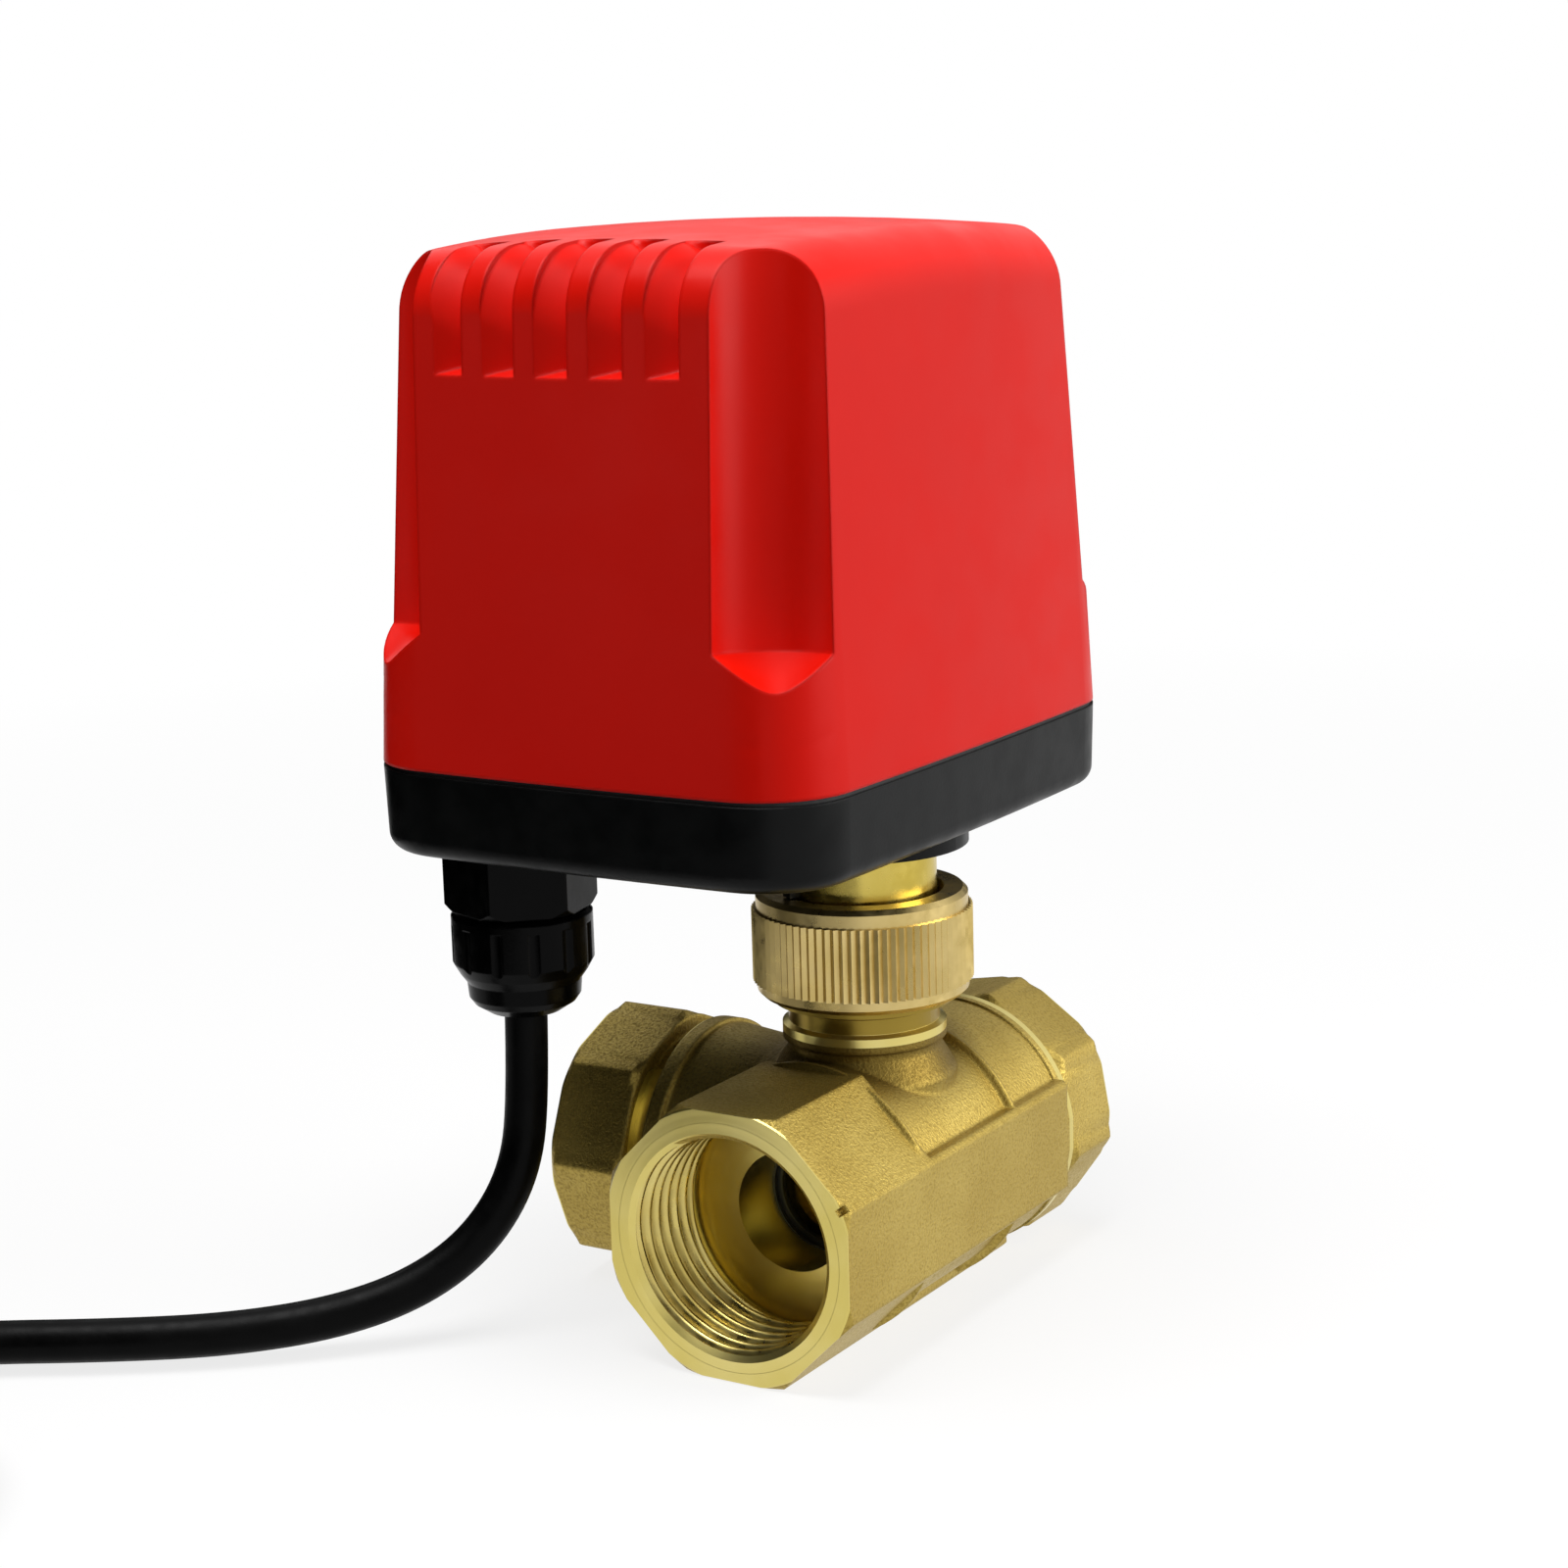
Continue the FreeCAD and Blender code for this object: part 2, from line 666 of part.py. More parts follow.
def base_housing():
    """Shallow moulded tray with the sleeve collar, corner bosses and the gland hole."""
    outer = tapered_box([(base_taper, base_bottom), (0, base_top)])
    rim = [edge for edge in outer.Edges if abs(edge.BoundBox.ZMax - base_bottom) < 0.01]
    outer = outer.makeFillet(base_edge_round, rim)
    inner = tapered_box([(base_taper + base_wall, floor_top), (base_wall, base_top + 1)])
    for x, y in boss_places:
        inner = inner.cut(rod(boss_radius, base_bottom, base_top + 2, x, y))
    for x, y in post_places:
        inner = inner.cut(rod(post_radius + 1, base_bottom, floor_top + floor_boss_height, x, y))
    solid = outer.cut(inner)
    solid = solid.fuse(rod(collar_radius, base_bottom - collar_drop, base_bottom + 1))
    holes = []
    for x, y in boss_places:
        holes.append(rod(screw_radius + assembly_clearance, base_bottom - 1, base_top + 1, x, y))
        holes.append(rod(screw_head_radius + assembly_clearance, base_bottom - 1,
                         base_bottom + screw_head_height + 2, x, y))
    for x, y in post_places:
        holes.append(rod(screw_radius + running_clearance, base_bottom + 0.8,
                         floor_top + floor_boss_height + 1, x, y))
    holes.append(rod(sleeve_radius + running_clearance, base_bottom - collar_drop - 1,
                     sleeve_shoulder))
    holes.append(rod(sleeve_thread_radius + running_clearance, sleeve_shoulder - 1, floor_top + 1))
    holes.append(rod(gland_thread_radius + assembly_clearance, base_bottom - 1, floor_top + 1,
                     gland_x, gland_y))
    for hole in holes:
        solid = solid.cut(hole)
    return solid.removeSplitter()


def cover_gasket():
    bottom, top = base_top, cover_bottom
    outer = tapered_box([(gasket_inset, bottom), (gasket_inset, top)])
    return outer.cut(tapered_box([(gasket_inset + gasket_width, bottom - 1),
                                  (gasket_inset + gasket_width, top + 1)]))


def corner_channel(grow):
    """Round channel that climbs a leaning cover corner from a funnel-shaped floor."""
    radius = channel_radius + grow
    drop = math.tan(math.radians(channel_slope))
    floor = channel_floor - grow
    solid = revolved([
        (0, floor - radius * drop), (radius, floor),
        (radius, cover_top + channel_radius), (0, cover_top + channel_radius),
    ])
    solid.rotate(Vector(0, 0, floor), Vector(1, 0, 0), -channel_lean)
    solid.translate(Vector(box_right - channel_in_x, box_front + channel_in_y, 0))
    return solid


def vent_profile(x, depth):
    """Region outside the cover's front and top surface, drawn at x and sunk by depth."""
    face = box_front + cover_draft * (vent_bottom - cover_bottom) + depth
    top = cover_edge_top + 0.4 - depth
    foot_height = vent_bottom + vent_ledge_slope * depth
    lean = cover_draft * (top - vent_round - vent_bottom)
    outside_y, outside_z = box_front - cover_edge_round, cover_top + cover_edge_round
    round_foot = Vector(x, face + lean, top - vent_round)
    round_mid = Vector(x, face + lean + vent_round * (1 - math.cos(math.pi / 4)),
                       top - vent_round * (1 - math.sin(math.pi / 4)))
    round_head = Vector(x, face + lean + vent_round, top)
    fade = Vector(x, box_front + vent_top_run, cover_edge_top + cover_crown / 2)
    foot = Vector(x, face, foot_height)
    lip = Vector(x, outside_y, foot_height - vent_ledge_slope * (face - outside_y))
    edges = [Part.LineSegment(foot, round_foot).toShape(),
             Part.Arc(round_foot, round_mid, round_head).toShape()]
    chain = [round_head, fade, Vector(x, fade.y, outside_z), Vector(x, outside_y, outside_z),
             lip, foot]
    edges += [Part.LineSegment(a, b).toShape() for a, b in zip(chain, chain[1:])]
    return Part.Wire(edges)


def vents():
    """Louvres that sink from left to right and run over the top edge."""
    tools = []
    for k in range(vent_count):
        left = vent_first + k * vent_pitch
        tools.append(Part.makeLoft([vent_profile(left, 0.05),
                                    vent_profile(left + vent_width, vent_depth)], True, True))
    return tools


def cover_solid(inset, bottom, top_drop, edge_round):
    height = cover_edge_top + cover_crown + 2 - bottom
    shell = tapered_box([(inset, bottom), (inset + cover_draft * height, bottom + height)])
    crown_centre = Vector(box_centre_x, box_centre_y, cover_top - top_drop - crown_radius)
    dome = Part.makeSphere(crown_radius, crown_centre)
    shell = shell.common(dome)
    rim = [edge for edge in shell.Edges if edge.BoundBox.ZMin > cover_edge_top - top_drop - 4]
    return shell.makeFillet(edge_round, rim)


def cover():
    """Moulded cover: drafted walls, domed top, corner channels and front vents."""
    outer = cover_solid(0, cover_bottom, 0, cover_edge_round)
    channels = mirrored_corners(corner_channel(0))
    for tool in channels + vents():
        outer = outer.cut(tool)
    inner = cover_solid(cover_wall, cover_bottom - 1, cover_wall, cover_edge_round - cover_wall)
    vent_wall = Part.Face(vent_profile(vent_first - cover_wall, vent_depth + cover_wall))
    vent_span = vent_pitch * (vent_count - 1) + vent_width + 2 * cover_wall
    blocked = mirrored_corners(corner_channel(cover_wall))
    blocked.append(vent_wall.extrude(Vector(vent_span, 0, 0)))
    blocked += [rod(boss_radius, cover_bottom - 2, cover_bottom + boss_height, x, y)
                for x, y in boss_places]
    for tool in blocked:
        inner = inner.cut(tool)
    solid = outer.cut(inner)
    for x, y in boss_places:
        solid = solid.cut(rod(screw_radius + running_clearance, cover_bottom - 1,
                              base_bottom + screw_length + 1, x, y))
    return solid.removeSplitter()


def screw(x, y, tip, seat_height, up=True):
    """Cheese-head screw with a cross recess; the head lies below the seat when up is true."""
    shank = rod(screw_radius, min(tip, seat_height), max(tip, seat_height), x, y)
    if up:
        head_low, recess_low = seat_height - screw_head_height, seat_height - screw_head_height - 1
    else:
        head_low, recess_low = seat_height, seat_height + screw_head_height - 1.2
    head = rod(screw_head_radius, head_low, head_low + screw_head_height, x, y)
    solid = shank.fuse(head)
    for half_x, half_y in ((1.5, 0.3), (0.3, 1.5)):
        solid = solid.cut(block(x - half_x, x + half_x, y - half_y, y + half_y,
                                recess_low, recess_low + 2.2))
    return solid


def cover_screws():
    seat_height = base_bottom + screw_head_height + 2
    return Part.makeCompound([screw(x, y, base_bottom + screw_length, seat_height)
                              for x, y in boss_places])


def plate(bottom, holes):
    corner = plate_corner_radius
    solid = block(plate_left, plate_right, plate_front, plate_back, bottom,
                  bottom + plate_thickness)
    upright = [edge for edge in solid.Edges if edge.BoundBox.ZLength > plate_thickness / 2]
    solid = solid.makeFillet(corner, upright)
    for x, y, radius in holes:
        solid = solid.cut(rod(radius, bottom - 1, bottom + plate_thickness + 1, x, y))
    return solid


def frame_holes():
    return [(x, y, screw_radius + assembly_clearance) for x, y in post_places]


def lower_plate():
    holes = frame_holes() + [(0, 0, bush_radius), (idler_x, idler_y, pin_radius + seat_gap)]
    solid = plate(lower_plate_bottom, holes)
    return solid.cut(rod(gland_thread_radius + 5, lower_plate_bottom - 1, lower_plate_top + 1,
                         gland_x, gland_y))


def upper_plate():
    holes = frame_holes() + [
        (0, 0, bush_radius), (idler_x, idler_y, pin_radius + seat_gap),
        (pinion_x, pinion_y, motor_shaft_radius + 3.6),
    ]
    for x, y in motor_screw_places():
        holes.append((x, y, screw_radius + running_clearance))
    return plate(upper_plate_bottom, holes)


def motor_screw_places():
    angle = math.radians(motor_ear_direction)
    across, along = motor_screw_reach * math.cos(angle), motor_screw_reach * math.sin(angle)
    return [(pinion_x + side * across, pinion_y + side * along) for side in (1, -1)]


def frame_spacers():
    pieces = []
    floor_boss_top = floor_top + floor_boss_height
    for x, y in post_places:
        pieces.append(tube(post_radius, screw_radius + assembly_clearance, floor_boss_top,
                           lower_plate_bottom, x, y))
        pieces.append(tube(post_radius, screw_radius + assembly_clearance, lower_plate_top,
                           upper_plate_bottom, x, y))
    return Part.makeCompound(pieces)


def frame_screws():
    return Part.makeCompound([screw(x, y, base_bottom + 1.4, upper_plate_top, False)
                              for x, y in post_places])


def bush(bottom, top, flange_bottom):
    solid = tube(bush_radius - seat_gap, shaft_radius + running_clearance, bottom, top)
    flange = tube(bush_radius + 1.2, shaft_radius + running_clearance, flange_bottom,
                  flange_bottom + bush_flange)
    return solid.fuse(flange)


def tooth_points(teeth, phase):
    """Outline of a spur gear with 20 degree involute flanks, shortened tips and backlash."""
    pitch = gear_module * teeth / 2
    base = pitch * math.cos(math.radians(20))
    root, tip = pitch - 1.05 * gear_module, pitch + 0.7 * gear_module
    half_pitch = math.pi / 2 / teeth - gear_backlash / 4 / pitch
    flank = [max(base, root + 0.05), (max(base, root) + pitch) / 2, pitch, tip]

    def roll(radius):
        ratio = max(radius / base, 1.0)
        return math.sqrt(ratio ** 2 - 1) - math.acos(1 / ratio)

    half = half_pitch + roll(pitch)
    points = []
    for k in range(teeth):
        middle = math.radians(phase) + 2 * math.pi * k / teeth
        rising = [(root, half + 0.01)] + [(r, half - roll(r)) for r in flank]
        for radius, angle in rising:
            points.append((radius * math.cos(middle - angle), radius * math.sin(middle - angle)))
        for radius, angle in reversed(rising):
            points.append((radius * math.cos(middle + angle), radius * math.sin(middle + angle)))
    return points


def gear(teeth, phase, bottom, top, x, y):
    points = [(x + px, y + py) for px, py in tooth_points(teeth, phase)]
    return prism(points, bottom, top)


def output_gear():
    solid = gear(output_teeth, idler_direction, output_gear_bottom, output_gear_top, 0, 0)
    solid = solid.fuse(rod(gear_hub_radius, output_gear_bottom - 0.9, output_gear_top + 2.0))
    for k in range(6):
        angle = math.radians(60 * k)
        solid = solid.cut(rod(2.0, output_gear_bottom - 2, output_gear_top + 4,
                              10.4 * math.cos(angle), 10.4 * math.sin(angle)))
    return solid.cut(rod(shaft_radius + seat_gap, lower_plate_top, upper_plate_bottom))


def output_shaft():
    solid = rod(shaft_radius, coupling_top + 0.4, shaft_top)
    half = square_side / 2
    return solid.fuse(block(-half, half, -half, half, stem_top + 2, coupling_top + 0.5))


def idler_gear():
    phase_small = idler_direction + 180 + 180 / idler_small_teeth
    small = gear(idler_small_teeth, phase_small, output_gear_bottom - 0.6,
                 idler_large_bottom + 0.1, idler_x, idler_y)
    large = gear(idler_large_teeth, pinion_direction, idler_large_bottom, idler_large_top,
                 idler_x, idler_y)
    hub = rod(3.6, output_gear_bottom - 1.4, upper_plate_bottom - 0.5, idler_x, idler_y)
    solid = small.fuse([large, hub])
    return solid.cut(rod(pin_radius + running_clearance, lower_plate_bottom,
                         upper_plate_top, idler_x, idler_y))


def idler_pin():
    return rod(pin_radius, lower_plate_bottom - 0.5, upper_plate_top, idler_x, idler_y)


def motor_pinion():
    phase = pinion_direction + 180 + 180 / pinion_teeth
    solid = gear(pinion_teeth, phase, idler_large_bottom - 0.5, idler_large_top + 0.6,
                 pinion_x, pinion_y)
    return solid.fuse(rod(motor_shaft_radius, idler_large_bottom - 2.0, upper_plate_top + 1.0,
                          pinion_x, pinion_y))


def motor():
    """Synchronous gear motor: flange with two ears, can with a stepped cap."""
    bottom = upper_plate_top
    flange_top = bottom + motor_flange_thickness
    ears = []
    for x, y in motor_screw_places():
        ears.append(rod(3.4, bottom, flange_top, x, y))
    can = revolved([
        (0, bottom), (motor_radius + 0.8, bottom), (motor_radius + 0.8, flange_top),
        (motor_radius, flange_top), (motor_radius, bottom + motor_height - 1.0),
        (motor_radius - 1.0, bottom + motor_height), (motor_radius - 5, bottom + motor_height),
        (motor_radius - 5, bottom + motor_height + 1.2), (0, bottom + motor_height + 1.2),
    ], pinion_x, pinion_y)
    solid = can.fuse(ears)
    for x, y in motor_screw_places():
        solid = solid.cut(rod(screw_radius + assembly_clearance, bottom - 1, flange_top + 1, x, y))
    return solid.cut(rod(motor_shaft_radius + running_clearance, bottom - 1, bottom + 1.4,
                         pinion_x, pinion_y))


def motor_screws():
    flange_top = upper_plate_top + motor_flange_thickness
    return Part.makeCompound([screw(x, y, upper_plate_bottom - 2.0, flange_top, False)
                              for x, y in motor_screw_places()])


def cam(bottom, rising):
    """Spiral cam: its radius changes evenly over the quarter turn that the switch follows."""
    low, high = (cam_low_radius, cam_high_radius) if rising else (cam_high_radius, cam_low_radius)
    points = []
    for k in range(19):
        share = k / 18
        angle = math.radians(-90 - 90 * share)
        radius = low + (high - low) * share
        points.append((radius * math.cos(angle), radius * math.sin(angle)))
    for k in range(1, 24):
        share = k / 24
        angle = math.radians(-180 - 270 * share)
        # the rest of the rim keeps the end radius, then returns before the start
        back = max(0.0, (share - 0.75) / 0.25)
        radius = high + (low - high) * back
        points.append((radius * math.cos(angle), radius * math.sin(angle)))
    solid = prism(points, bottom, bottom + cam_thickness)
    solid = solid.fuse(rod(cam_hub_radius, bottom - 0.8, bottom + cam_thickness + 0.8))
    return solid.cut(rod(shaft_radius + seat_gap, bottom - 3, bottom + cam_thickness + 3))


def switch_middle(cam_bottom):
    return cam_bottom + cam_thickness / 2


def switch_body(cam_bottom):
    """Snap-action switch: moulded case with two lugs for its lever and three terminals."""
    middle, half = switch_middle(cam_bottom), switch_thickness / 2
    left = -lever_length - 2.0
    solid = block(left, left + switch_length, switch_face_y - switch_depth, switch_face_y,
                  middle - half, middle + half)
    for x in (left + 5.0, left + 15.0):
        hole = Part.makeCylinder(1.1, 20, Vector(x, switch_face_y - 6.8, middle - 10))
        solid = solid.cut(hole)
    hole_half = plunger_size / 2 + assembly_clearance
    centre = -lever_length + plunger_distance
    solid = solid.cut(block(centre - hole_half, centre + hole_half, switch_face_y - 3.2,
                            switch_face_y + 1, middle - hole_half, middle + hole_half))
    for x in (left + 2.0, left + 9.0, left + 17.0):
        leg = block(x, x + 2.6, switch_face_y - switch_depth - 3.6,
                    switch_face_y - switch_depth + 0.5, middle - 0.3, middle + 0.3)
        solid = solid.fuse(leg)
    return solid


def switch_lever(cam_bottom, pressed):
    middle, half = switch_middle(cam_bottom), lever_width / 2
    solid = block(-lever_length, lever_tip, lever_face_y - lever_thickness, lever_face_y,
                  middle - half, middle + half)
    foot = block(-lever_length - 0.5, -lever_length + 0.5,
                 switch_face_y + 0.3, lever_face_y - 0.1, middle - half, middle + half)
    barrel = rod(lever_barrel_radius, middle - half, middle + half, -lever_length, lever_face_y)
    solid = solid.fuse([foot, barrel])
    if not pressed:
        solid.rotate(Vector(-lever_length, lever_face_y, middle), Vector(0, 0, 1), lever_swing)
    return solid


def switch_plunger(cam_bottom, pressed):
    middle, half = switch_middle(cam_bottom), plunger_size / 2
    centre = -lever_length + plunger_distance
    rise = 0.0 if pressed else plunger_distance * math.sin(math.radians(lever_swing))
    top = lever_face_y - lever_thickness - 0.2 + rise
    return block(centre - half, centre + half, switch_face_y - 2.2 + rise, top,
                 middle - half, middle + half)


def switch_posts():
    """Two posts with nuts that hold both switches on the upper plate."""
    pieces = []
    left = -lever_length - 2.0
    top = switch_middle(upper_cam_bottom) + switch_thickness / 2
    for x in (left + 5.0, left + 15.0):
        y = switch_face_y - 6.8
        post = rod(1.05, upper_plate_top, top + 3.0, x, y)
        for low, high in ((upper_plate_top, switch_middle(lower_cam_bottom) - switch_thickness / 2),
                          (top, top + 1.8)):
            post = post.fuse(rod(2.0, low, high, x, y))
        pieces.append(post)
    return Part.makeCompound(pieces)


def terminal_block():
    bottom = floor_top
    solid = block(terminal_x, terminal_x + terminal_length, terminal_y,
                  terminal_y + terminal_width, bottom, bottom + terminal_height)
    solid = solid.cut(block(terminal_x - 1, terminal_x + terminal_length + 1, terminal_y - 1,
                            terminal_y + 2.6, bottom + 6, bottom + terminal_height + 1))
    pitch = terminal_length / terminal_ways
    for k in range(terminal_ways):
        x = terminal_x + pitch * (k + 0.5)
        solid = solid.cut(rod(1.5, bottom + 4.5, bottom + 12, x, terminal_y + 6.0))
        solid = solid.cut(block(x - 1.3, x + 1.3, terminal_y - 1, terminal_y + 2.4,
                                bottom + 1.5, bottom + 4.4))
    return solid


def terminal_screws():
    pitch = terminal_length / terminal_ways
    pieces = []
    for k in range(terminal_ways):
        x = terminal_x + pitch * (k + 0.5)
        pieces.append(rod(1.4, floor_top + 4.5, floor_top + 7.4, x, terminal_y + 6.0).cut(
            block(x - 2, x + 2, terminal_y + 5.75, terminal_y + 6.25, floor_top + 6.6,
                  floor_top + 8)))
    return Part.makeCompound(pieces)


def sleeve_locknut():
    points = polygon_points(sleeve_nut_radius * 2, 6, 15)
    solid = prism(points, floor_top, floor_top + sleeve_nut_height)
    return solid.cut(rod(sleeve_thread_radius + seat_gap, floor_top - 1,
                         floor_top + sleeve_nut_height + 1))


def gland_body():
    """Hexagon under the base, thread through the wall and a slotted clamping crown inside the cap."""
    hexagon = prism(polygon_points(gland_flats, 6, 12, gland_x, gland_y), gland_body_bottom,
                    base_bottom)
    hexagon = hexagon.common(revolved([
        (0, gland_body_bottom), (10.0, gland_body_bottom), (10.9, gland_body_bottom + 1.0),
        (10.9, base_bottom), (0, base_bottom),
    ], gland_x, gland_y))
    thread = rod(gland_thread_radius, base_bottom - 1, base_bottom + gland_thread_length,
                 gland_x, gland_y)
    neck = rod(gland_thread_radius, gland_cap_shoulder + 1, gland_body_bottom + 1,
               gland_x, gland_y)
    solid = hexagon.fuse([thread, neck])
    return solid.cut(rod(gland_bore_radius + 1.2, gland_cap_shoulder, base_bottom + 20,
                         gland_x, gland_y))


def gland_locknut():
    top = floor_top + gland_nut_height
    hexagon = polygon_points(gland_locknut_flats, 6, gland_locknut_turn, gland_x, gland_y)
    solid = prism(hexagon, floor_top, top)
    return solid.cut(rod(gland_thread_radius + seat_gap, floor_top - 1, top + 1,
                         gland_x, gland_y))


def gland_seal():
    """Rubber bush squeezed round the cable inside the cap."""
    return tube(gland_bore_radius + 1.1, cable_radius + seat_gap, gland_cap_bottom + 4.2,
                gland_body_bottom + 2, gland_x, gland_y)


def gland_cap():
    """Domed compression cap with shallow grip ribs."""
    outer = revolved([
        (0, gland_cap_bottom), (gland_mouth_radius + 1.4, gland_cap_bottom),
        (gland_dome_radius - 0.7, gland_cap_bottom + 1.3), (gland_dome_radius, gland_cap_taper - 2.2),
        (gland_dome_radius + 0.2, gland_cap_taper), (gland_cap_radius - 0.9, gland_cap_shoulder - 0.8),
        (gland_cap_radius, gland_cap_shoulder + 0.8),
        (gland_cap_radius, gland_body_bottom - 0.9), (gland_cap_radius - 0.5, gland_body_bottom - 0.3),
        (0, gland_body_bottom - 0.3),
    ], gland_x, gland_y)
    solid = outer.cut(rod(gland_thread_radius + running_clearance, gland_cap_shoulder - 0.8,
                          gland_body_bottom + 1, gland_x, gland_y))
    solid = solid.cut(rod(gland_bore_radius + 1.3, gland_cap_bottom + 4, gland_cap_shoulder,
                          gland_x, gland_y))
    solid = solid.cut(rod(gland_mouth_radius, gland_cap_bottom - 1, gland_cap_bottom + 5,
                          gland_x, gland_y))
    for k in range(gland_ribs):
        angle = 2 * math.pi * (k + 0.5) / gland_ribs
        reach = gland_cap_radius + 0.9
        solid = solid.cut(rod(1.3, gland_cap_shoulder - 3, gland_body_bottom - 2.0,
                              gland_x + reach * math.cos(angle), gland_y + reach * math.sin(angle)))
    return solid


def rounded_path(points):
    """Straight runs joined by tangent arcs, each as large as its shorter run allows."""
    points = [Vector(*point) for point in points]
    edges, radii, start = [], [], points[0]
    for before, corner, after in zip(points, points[1:], points[2:]):
        back, ahead = before - corner, after - corner
        reach = 0.45 * min(back.Length, ahead.Length)
        half_turn = (math.pi - back.getAngle(ahead)) / 2
        radius = reach / math.tan(half_turn)
        back.normalize()
        ahead.normalize()
        entry, leave = corner + back * reach, corner + ahead * reach
        bisector = back + ahead
        bisector.normalize()
        middle = corner + bisector * (radius / math.cos(half_turn) - radius)
        edges.append(Part.LineSegment(start, entry).toShape())
        edges.append(Part.Arc(entry, middle, leave).toShape())
        radii.append(radius)
        start = leave
    edges.append(Part.LineSegment(start, points[-1]).toShape())
    return Part.Wire(edges), radii


def swept(path, radius, start, heading):
    section = Part.Wire(Part.Circle(start, heading, radius).toShape())
    return path.makePipeShell([section], True, False)


def cable_lead():
    path, radii = rounded_path(cable_route)
    print("lead radii", [round(radius, 1) for radius in radii])
    start = Vector(*cable_route[0])
    solid = swept(path, cable_radius, start, Vector(*cable_route[1]) - start)
    section = math.pi * cable_radius ** 2
    print("lead length %.1f, volume ratio %.4f"
          % (path.Length, solid.Volume / (section * path.Length)))
    return solid


def coil_frame():
    """Start point of the coil, the heading of the lead there, and its left-hand side."""
    end, before = Vector(*cable_route[-1]), Vector(*cable_route[-2])
    heading = end - before
    heading.normalize()
    return end, heading, Vector(0, 0, 1).cross(heading)


def coil_place(along, side):
    end, heading, left = coil_frame()
    return end + heading * along + left * side


def half_turns():
    """Half turns of the coil as (start point, chord to the end point, forward or backward)."""
    turns, way, lift = [], 1, 0.0
    for k, (begin, finish) in enumerate(zip(coil_sides, coil_sides[1:])):
        rise = coil_layer if k == coil_climb else 0.0
        start = coil_place(2 * cable_radius, begin) + Vector(0, 0, lift)
        stop = coil_place(2 * cable_radius, finish) + Vector(0, 0, lift + rise)
        turns.append((start, stop - start, way))
        lift += rise
        way = -way
    return turns


def on_half_turn(start, chord, way, share):
    """Point on a half circle over the chord, at a share of its sweep."""
    heading = coil_frame()[1]
    angle = math.pi * share
    return start + chord * ((1 - math.cos(angle)) / 2) + heading * (
        way * chord.Length / 2 * math.sin(angle))


def coil_end():
    """Where the last half turn ends; the tail goes on from there along the heading."""
    start, chord, way = half_turns()[-1]
    return start + chord


def cable_coil():
    """Two layers of turns beside the valve: inwards below, outwards above, then the tail."""
    end, heading, left = coil_frame()
    edges = [Part.LineSegment(end, coil_place(2 * cable_radius, 0)).toShape()]
    samples = [end]
    for start, chord, way in half_turns():
        points = [on_half_turn(start, chord, way, share) for share in (0, 0.5, 1)]
        edges.append(Part.Arc(*points).toShape())
        samples += [on_half_turn(start, chord, way, k / 36) for k in range(36)]
    tail = coil_end() + heading * coil_tail
    edges.append(Part.LineSegment(coil_end(), tail).toShape())
    samples += [coil_end(), tail]
    path = Part.Wire(edges)
    least = min(a.distanceToPoint(b) for i, a in enumerate(samples)
                for b in samples[i + 36:])
    print("coil length %.1f, least gap %.2f" % (path.Length, least - 2 * cable_radius))
    solid = swept(path, cable_radius, end, heading)
    print("coil volume ratio %.4f"
          % (solid.Volume / (math.pi * cable_radius ** 2 * path.Length)))
    return solid


def cable_core(number):
    """One insulated core that goes on from the cut end of the sheath, over the turn below."""
    end, heading, left = coil_frame()
    begin = coil_end() + heading * coil_tail
    angle = math.radians(120 * number + 90)
    offset = 1.45
    side, lift = offset * math.cos(angle), offset * math.sin(angle)
    radius = core_bend_radius - side
    sweep = core_length / core_bend_radius

    def point(share):
        turn = sweep * share
        return (begin + heading * (radius * math.sin(turn))
                + left * (core_bend_radius - radius * math.cos(turn)) + Vector(0, 0, lift))

    path = Part.Wire(Part.Arc(point(0), point(0.5), point(1)).toShape())
    return swept(path, core_radius, point(0), heading)


def cable_tie():
    """Flat strap round the strands of both layers with its square locking head."""
    end, heading, left = coil_frame()
    strands = [side for side in coil_sides if side > coil_sides[1] / 2]
    inner, outer = min(strands) - cable_radius - tie_gap, max(strands) + cable_radius + tie_gap
    low = coil_clear_height - cable_radius - tie_gap
    high = coil_clear_height + coil_layer + cable_radius + tie_gap
    thick, half, middle = tie_thickness, tie_width / 2, 2 * cable_radius

    def slab(half_width, s0, s1, z0, z1):
        ends = ((middle - half_width, s0), (middle + half_width, s0),
                (middle + half_width, s1), (middle - half_width, s1))
        flat = [coil_place(along, side) for along, side in ends]
        flat = [Vector(p.x, p.y, z0) for p in flat]
        return Part.Face(Part.makePolygon(flat + flat[:1])).extrude(Vector(0, 0, z1 - z0))

    outside = slab(half, inner - thick, outer + thick, low - thick, high + thick)
    corners = [edge for edge in outside.Edges if abs(edge.tangentAt(0).dot(heading)) > 0.9]
    outside = outside.makeFillet(thick, corners)
    solid = outside.cut(slab(half + 1, inner, outer, low, high))
    head = slab(half + 0.8, outer - 7.0, outer - 1.5, high + thick - 0.2, high + thick + 3.2)
    return solid.fuse(head)


